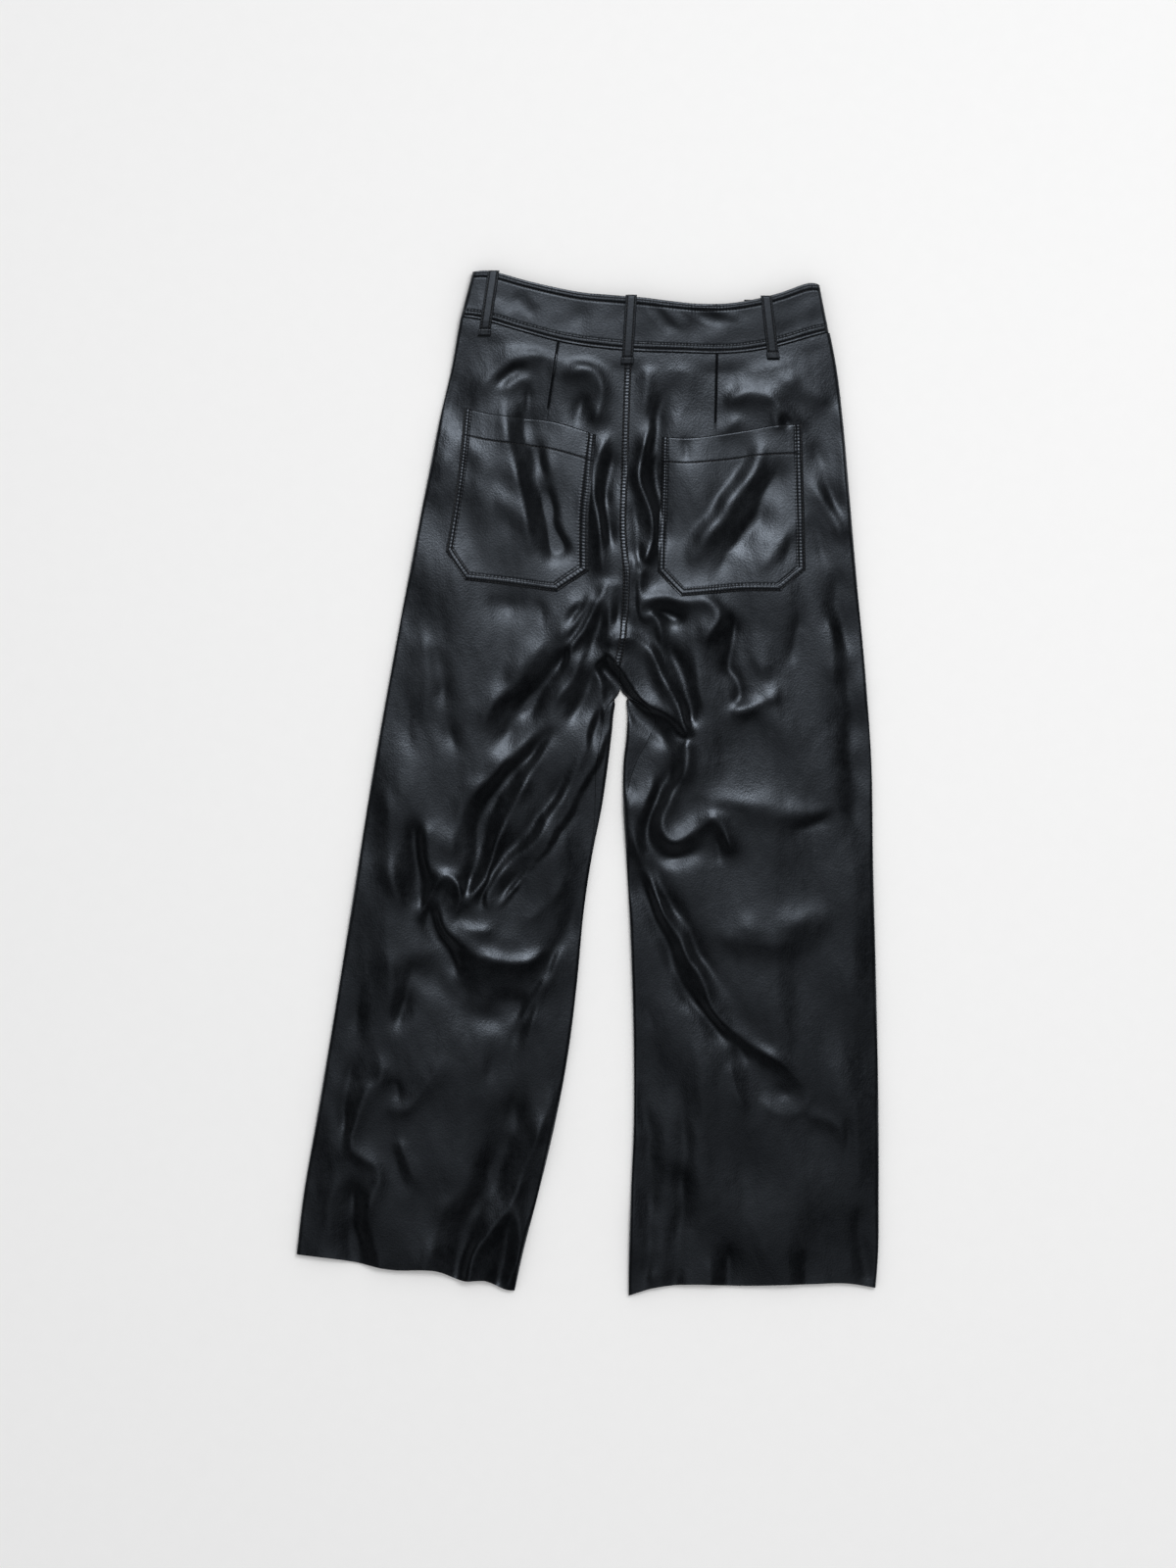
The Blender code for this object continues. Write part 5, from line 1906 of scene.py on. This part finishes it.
@dataclass
class BeltLoop:
    """A belt loop: a strip with both edges turned and sewn, its foot folded under on the panel."""

    name: str
    drape: Drape
    head: Pair
    foot: Pair
    layer: Layer = Layer.UPPER
    width: float = 11.0
    thick: float = 1.8
    gap: float = 0.9
    arch: float = 0.7
    foot_length: float = 7.0
    foot_swell: float = 0.9
    foot_flare: float = 0.7
    head_turn: float = 2.6
    head_drop: float = -3.4
    end_width: float = 1.2
    end_drop: float = -1.3
    edge_width: float = 1.1
    edge_drop: float = -0.9
    row_inset: float = 1.7
    row_groove: float = -0.5
    row_width: float = 0.45
    bar_groove: float = -0.75
    bar_width: float = 0.6
    bar_gap: float = 1.5
    bar_reach: float = 0.85
    swell: float = 0.22
    pitch: float = 3.0
    stitch: float = 2.3
    edge_wear: Pair = (0.8, 1.2)
    cell: float = 0.55

    def _line(self, t: Array) -> tuple[Array, Array]:
        """X and y of the middle of the loop, from its head to its foot."""
        return tuple(high + t * (low - high) for high, low in zip(self.head, self.foot))

    def _surface(self, t: Array, s: Array) -> Array:
        """Points of its outside at a share down it and from its left edge to its right.

        Args:
            t: Share from the head to the foot.
            s: From -1 at one edge to 1 at the other.

        Returns:
            The points.
        """
        drape = self.drape
        length = math.hypot(self.foot[0] - self.head[0], self.foot[1] - self.head[1])
        down = t * length
        x, y = self._line(t)
        foot_share = ease(down, length - self.foot_length - 0.8, length - self.foot_length + 0.8)
        half = self.width / 2 + self.foot_flare * foot_share
        across = s * half
        edge = half - np.abs(across)
        rounded = self.edge_drop * (1.0 - quarter(edge, self.edge_width))
        rows = self.row_groove * bell(edge - self.row_inset, self.row_width)
        swell = self.swell * np.cos(np.clip(across / half, -1, 1) * np.pi / 2)
        bar = self.bar_groove * bell(down - length + self.foot_length, self.bar_width)
        end = self.end_drop * (1.0 - quarter(length - down, self.end_width))
        relief = rounded + rows + swell + bar + end + self.foot_swell * foot_share
        if self.layer is Layer.LOWER:
            return np.stack([x + across, y, 0.05 - np.minimum(rounded, 0.0)], -1)
        side = Side.LEFT if self.head[0] < float(drape.pattern.centre(self.head[1])) else Side.RIGHT
        panel = float(drape.upper(side, np.array(self.foot[0]), np.array(self.foot[1])))
        past = np.clip((drape.pattern.seam(x) - y) / max(self._past_seam(), 1e-6), 0.0, 1.0)
        low = drape.band_height + self.gap + self.arch * np.sin(np.pi * t)
        low = low - (drape.band_height - panel) * past + drape.lean(x, y)
        over = self.head_drop * (1.0 - quarter(down, self.head_turn))
        return np.stack([x + across, y, low + self.thick + relief + over], -1)

    def _past_seam(self) -> float:
        """How far below the band's seam the loop's foot ends."""
        return float(self.drape.pattern.seam(self.foot[0])) - self.foot[1]

    def build(self, finishes: Finishes) -> list[bpy.types.Object]:
        """Makes the loop and, on the upper side, its stitches.

        Args:
            finishes: All materials.

        Returns:
            The loop, and its stitches if it has any to see.
        """
        length = math.hypot(self.foot[0] - self.head[0], self.foot[1] - self.head[1])
        rows, columns = even(round(length / self.cell), 2), even(round(self.width / self.cell), 2)
        t = np.linspace(0.0, 1.0, rows + 1)[:, None]
        s = np.linspace(-1.0, 1.0, columns + 1)[None]
        t, s = t + 0 * s, s + 0 * t
        outside = self._surface(t, s)
        rubbed = worn((1 - np.abs(s)) * self.width / 2, *self.edge_wear)
        shell = Shell(f"leather_{self.name}", outside, 1.5, 2, rubbed)
        upper = self.layer is Layer.UPPER
        pieces = [report(shell.build(upper, finishes.loop, finishes.backing), self.name)]
        if upper:
            sewing = Stitching(f"stitches_{self.name}", pitch=self.pitch, length=self.stitch)
            inset = 1 - self.row_inset / (self.width / 2)
            start = self.head_turn / length
            for side in (-inset, inset):
                along = np.linspace(start, 1.0 - (self.foot_length + 0.6) / length, 120)
                sewing.sew(self._surface(along, np.full_like(along, side)))
            across = np.linspace(-self.bar_reach, self.bar_reach, 30)
            for back in (self.foot_length, self.foot_length - self.bar_gap):
                sewing.sew(self._surface(np.full_like(across, 1.0 - back / length), across))
            pieces.append(report(sewing.build(finishes.thread)))
        return pieces


@dataclass
class CentreSeam:
    """The lapped seam down the centre back: a raised strip of turned leather between two rows."""

    drape: Drape
    line: tuple[Pair, ...] = (
        (40.2, 418), (39.2, 400), (37.3, 350), (35.8, 300), (34.6, 240), (37.6, 202),
        (37, 178), (35.4, 156), (34.2, 141), (32.5, 131), (28.8, 114),
    )
    width: float = 6.8
    rise: float = 0.35
    swell: float = 0.6
    round_off: float = 0.7
    pitch: float = 3.2
    inset: float = 0.9
    groove: float = -0.42
    groove_width: float = 0.5
    pucker: float = 0.18
    thick: float = 0.7
    wear: float = 0.6
    lap: float = 1.5
    cell: float = 0.6

    def _surface(self, along: Array, s: Array) -> tuple[Array, Array]:
        """Lays the strip on both panels, raised along their normals and puckered by its stitches.

        Args:
            along: Run along the seam.
            s: From -1 at one edge to 1 at the other.

        Returns:
            Points and normals.
        """
        path = path_through(self.line, 1.0)
        run = run_along(path)
        x = np.interp(along, run, path[:, 0]) + s * self.width / 2
        y = np.interp(along, run, path[:, 1])
        side_x = x - self.drape.pattern.centre(y)
        left, right = (self.drape.top(side, x, y) for side in Side)
        share = ease(side_x, -self.lap, self.lap)[..., None]
        base = left + share * (right - left)
        up_left, up_right = (self.drape.top_normals(side, x, y, self.lap) for side in Side)
        normal = unit(up_left + share * (up_right - up_left))
        edge = (1 - np.abs(s)) * self.width / 2
        rounded = (self.rise + self.swell) * quarter(edge, self.round_off)
        groove = self.groove * bell(edge - self.inset, self.groove_width)
        waves = 0.5 + 0.5 * np.cos(2 * np.pi * along / self.pitch)
        pucker = self.pucker * waves * ease(edge, 0.8, 1.8)
        return base + (rounded + groove + pucker)[..., None] * normal, normal

    def build(self, finishes: Finishes) -> list[bpy.types.Object]:
        """Makes the strip and its stitches.

        Args:
            finishes: All materials.

        Returns:
            The strip and the stitches.
        """
        path = path_through(self.line, 1.0)
        length = float(np.linalg.norm(np.diff(path, axis=0), axis=1).sum())
        rows, columns = even(round(length / self.cell)), even(round(self.width / self.cell))
        along = np.linspace(0.0, length, rows + 1)[:, None]
        s = np.linspace(-1.0, 1.0, columns + 1)[None]
        outside, _ = self._surface(along + 0 * s, s + 0 * along)
        rubbed = np.broadcast_to(self.wear * (1 - s * s), outside.shape[:2])
        shell = Shell("leather_centre_seam", outside, self.thick, 2, rubbed)
        strip = report(shell.build(True, finishes.panel, finishes.backing))
        sewing = Stitching("stitches_centre_seam", pitch=self.pitch)
        run = np.linspace(1.0, length - 1.0, 400)
        for side in (-1, 1):
            s_row = np.full_like(run, side * (1 - self.inset / (self.width / 2)))
            sewing.sew(*self._surface(run, s_row))
        return [strip, report(sewing.build(finishes.thread))]


LEFT_POCKET = dict(
    width=134.0,
    depth=158.0,
    west_cut=(25.0, 25.0),
    east_cut=(23.5, 21.5),
    top=((-119.1, 363.6), (-93.8, 357.7), (-68, 354.4), (-41.6, 351.8), (-20.7, 347), (8.6, 337.4)),
    bottom=((-141.3, 198.6), (-116.1, 196), (-86.2, 192.8), (-57.2, 188.8), (-35.9, 185.9), (2.8, 181.6)),
    west=((-119.1, 363.6), (-122.6, 325), (-127, 287), (-134.5, 240), (-141.3, 198.6)),
    east=((8.6, 337.4), (5, 300), (1.6, 262), (1.4, 222), (2.8, 181.6)),
)
RIGHT_POCKET = dict(
    width=140.0,
    depth=158.0,
    west_cut=(23.7, 23.4),
    east_cut=(20.9, 22.4),
    top=((72.2, 335.6), (95.7, 334.2), (124.7, 337.2), (157.9, 342.4), (180, 346.2), (207.6, 348)),
    bottom=((66.4, 179.4), (95, 181), (120.4, 183.2), (148, 185.6), (180, 185.8), (211.8, 185.6)),
    west=((72.2, 335.6), (71.4, 300), (70, 262), (68.2, 222), (66.4, 179.4)),
    east=((207.6, 348), (208.6, 306), (209.8, 265), (210.8, 225), (211.8, 185.6)),
)


@dataclass(frozen=True)
class SoftLight:
    """A soft light: where it hangs and is turned to, its width and height, and its power in watts.

    It shows either in the sheen of things or in their own colour.
    """

    name: str
    place: Triple
    aim: Triple
    size: Pair
    power: float
    in_sheen: bool

    def hang(self) -> None:
        """Adds it to the scene, turned by the angles of the way from it to its aim."""
        data = bpy.data.lights.new(self.name, "AREA")
        data.shape = "RECTANGLE"
        data.size, data.size_y = self.size
        data.energy = self.power
        light = linked(self.name, data)
        light.location = self.place
        x, y, z = np.array(self.aim, float) - np.array(self.place, float)
        light.rotation_euler = (math.atan2(math.hypot(x, y), -z), 0.0, math.atan2(y, x) - math.pi / 2)
        light.visible_diffuse, light.visible_glossy = not self.in_sheen, self.in_sheen


@dataclass
class Studio:
    """The pale floor, the soft lights and the camera overhead."""

    frame_height: float = 1.52
    frame_middle: Pair = (0.00038, -0.00053)
    camera_height: float = 3.6
    sensor: float = 36.0
    floor_reach: float = 40.0
    floor_level: float = -0.0004
    soft_lights: tuple[SoftLight, ...] = (
        SoftLight("strip", (0.05, 1.95, 3.2), (0.0, 0.1, 0.0), (1.3, 1.5), 98.0, True),
        SoftLight("panel", (0.0, -0.4, 4.6), (0.0, -0.399, 0.0), (2.6, 2.6), 8.5, True),
        SoftLight("lamp", (0.9, 1.0, 3.0), (0.0, 0.0, 0.0), (1.2, 1.2), 38.0, False),
    )
    surround: float = 0.66
    sheen_heights: Pair = (0.08, 0.36)
    sheen_span: Pair = (0.42, 0.016)

    def floor(self) -> bpy.types.Object:
        """Lays the floor just under the garment, in pale plain card with a faint tooth.

        Returns:
            The floor, which is stage.
        """
        mesh = bpy.data.meshes.new("floor")
        far, low = self.floor_reach, self.floor_level
        corners = ((-far, -far, low), (far, -far, low), (far, far, low), (-far, far, low))
        mesh.from_pydata(corners, [], [(0, 1, 2, 3)])
        made, graph, shader = new_material("pale_floor")
        shader.set(Roughness=0.95, Specular_IOR_Level=0.0)
        tooth = graph.spread("Noise").set(Scale=60.0, Detail=3.0)
        shader.feed("Base Color", graph.colours((0.90,) * 3, (0.92,) * 3, tooth), 2)
        mesh.materials.append(made)
        floor = linked("floor", mesh)
        return floor

    def lights(self) -> None:
        """Sets a wide strip beyond the waist for the sheen, a panel and a lamp above, and the surround.

        The surround is even for the cloth's own colour. In the sheen it is dark above and pale low down.
        """
        for light in self.soft_lights:
            light.hang()
        world = bpy.data.worlds.new("surround")
        bpy.context.scene.world = world
        world.use_nodes = True
        graph = Graph(world.node_tree)
        even_light = Node(world.node_tree, world.node_tree.nodes["Background"])
        way = graph.add("SeparateXYZ").feed(0, graph.add("TexCoord"), "Generated")
        strength = graph.add("Mix", data_type="FLOAT").feed(0, graph.add("LightPath"), "Is Glossy Ray")
        strength.node.inputs[2].default_value = self.surround
        strength.feed(3, graph.ramp(way, *self.sheen_heights, self.sheen_span, "Z"))
        even_light.set(Color=(1.0, 1.0, 1.0, 1.0))
        even_light.feed("Strength", strength)

    def camera(self) -> None:
        """Looks straight down on the garment with a long lens, the waist at the top."""
        data = bpy.data.cameras.new("overhead")
        data.sensor_width = self.sensor
        data.lens = self.sensor * self.camera_height / self.frame_height
        data.clip_end = 50.0
        camera = linked("overhead", data)
        camera.location = (*self.frame_middle, self.camera_height)
        bpy.context.scene.camera = camera

    def build(self) -> None:
        """Sets all of it up, with colours shown as they are."""
        bpy.context.scene.view_settings.view_transform = "Standard"
        self.camera()
        self.floor()
        self.lights()


CUTS: tuple[tuple[str, float, float, float, str], ...] = (
    ("leather_back_left", 0.240, 0.935, 0.200, "leather_front_left"),
    ("leather_back_right", 0.246, 0.935, 0.215, "leather_front_right"),
    ("leather_front_left", 0.240, 0.935, 0.201, "floor"),
    ("leather_front_right", 0.246, 0.935, 0.216, "floor"),
    ("leather_pocket_left", 0.142, 0.158, 0.0217, "leather_back_left"),
    ("leather_pocket_right", 0.144, 0.162, 0.0222, "leather_back_right"),
    ("leather_band_back", 0.358, 0.051, 0.0181, "leather_band_front_left"),
    ("leather_band_front_left", 0.163, 0.051, 0.0083, "floor"),
    ("leather_band_front_right", 0.194, 0.051, 0.0097, "floor"),
    ("leather_loop_back_left", 0.012, 0.064, 0.00075, "leather_band_back"),
    ("leather_loop_back_centre", 0.012, 0.068, 0.00079, "leather_band_back"),
    ("leather_loop_back_right", 0.012, 0.062, 0.00072, "leather_band_back"),
    ("leather_loop_front_left", 0.011, 0.065, 0.00071, "leather_band_front_left"),
    ("leather_loop_front_right", 0.011, 0.065, 0.00071, "leather_band_front_right"),
)


@dataclass
class Trousers:
    """The whole garment."""

    drape: Drape = field(default_factory=Drape)
    loops: tuple[tuple[str, Pair, Pair, Layer], ...] = (
        ("loop_back_left", (-90.5, 495.9), (-100, 432.5), Layer.UPPER),
        ("loop_back_centre", (42.5, 472.2), (38.3, 405), Layer.UPPER),
        ("loop_back_right", (172.5, 471.3), (179.8, 410), Layer.UPPER),
        ("loop_front_left", (-73, 487), (-81, 426), Layer.LOWER),
        ("loop_front_right", (157.5, 468.8), (163.5, 404), Layer.LOWER),
    )

    def build(self) -> None:
        finishes = Finishes.made()
        backs = [
            BackPanel(side, self.drape, dart).build(finishes)
            for side, dart in ((Side.LEFT, LEFT_DART), (Side.RIGHT, RIGHT_DART))
        ]
        fronts = [FrontPanel(side, self.drape).build(finishes) for side in Side]
        pockets = [
            PatchPocket(side, self.drape, **sizes).build(finishes)
            for side, sizes in ((Side.LEFT, LEFT_POCKET), (Side.RIGHT, RIGHT_POCKET))
        ]
        seam = CentreSeam(self.drape).build(finishes)
        band = Waistband(self.drape).build(finishes)
        loops = [
            BeltLoop(name, self.drape, head, foot, layer).build(finishes)
            for name, head, foot, layer in self.loops
        ]
        self._zip(finishes)
        groups = [[backs[0], *seam], [backs[1]], *([front] for front in fronts)]
        groups += [*pockets, [band[0], band[3]], [band[1]], [band[2]], *loops]
        self._declare({group[0].name: group for group in groups})

    @staticmethod
    def _declare(groups: dict[str, list[bpy.types.Object]]) -> None:
        """Goes through the cut of every sheet, its width and length in metres, flat area, and what it lies
        on, and logs what it lies on.
        """
        for name, width, length, area, under in CUTS:
            LOG.info("%s lies on %s", name, under)

    @staticmethod
    def _zip(finishes: Finishes) -> None:
        """Gives the hidden zip its woven tape and its metal."""
        for node, finish in (("zip_tape", finishes.tape), ("zip_slider", finishes.nickel)):
            for k in range(len(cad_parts[node].data.materials)):
                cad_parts[node].data.materials[k] = finish


def main() -> None:
    """Builds the scene."""
    logging.basicConfig(level=logging.INFO, format="%(name)s: %(message)s")
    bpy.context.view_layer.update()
    Studio().build()
    Trousers().build()


if __name__ == "__main__":
    main()
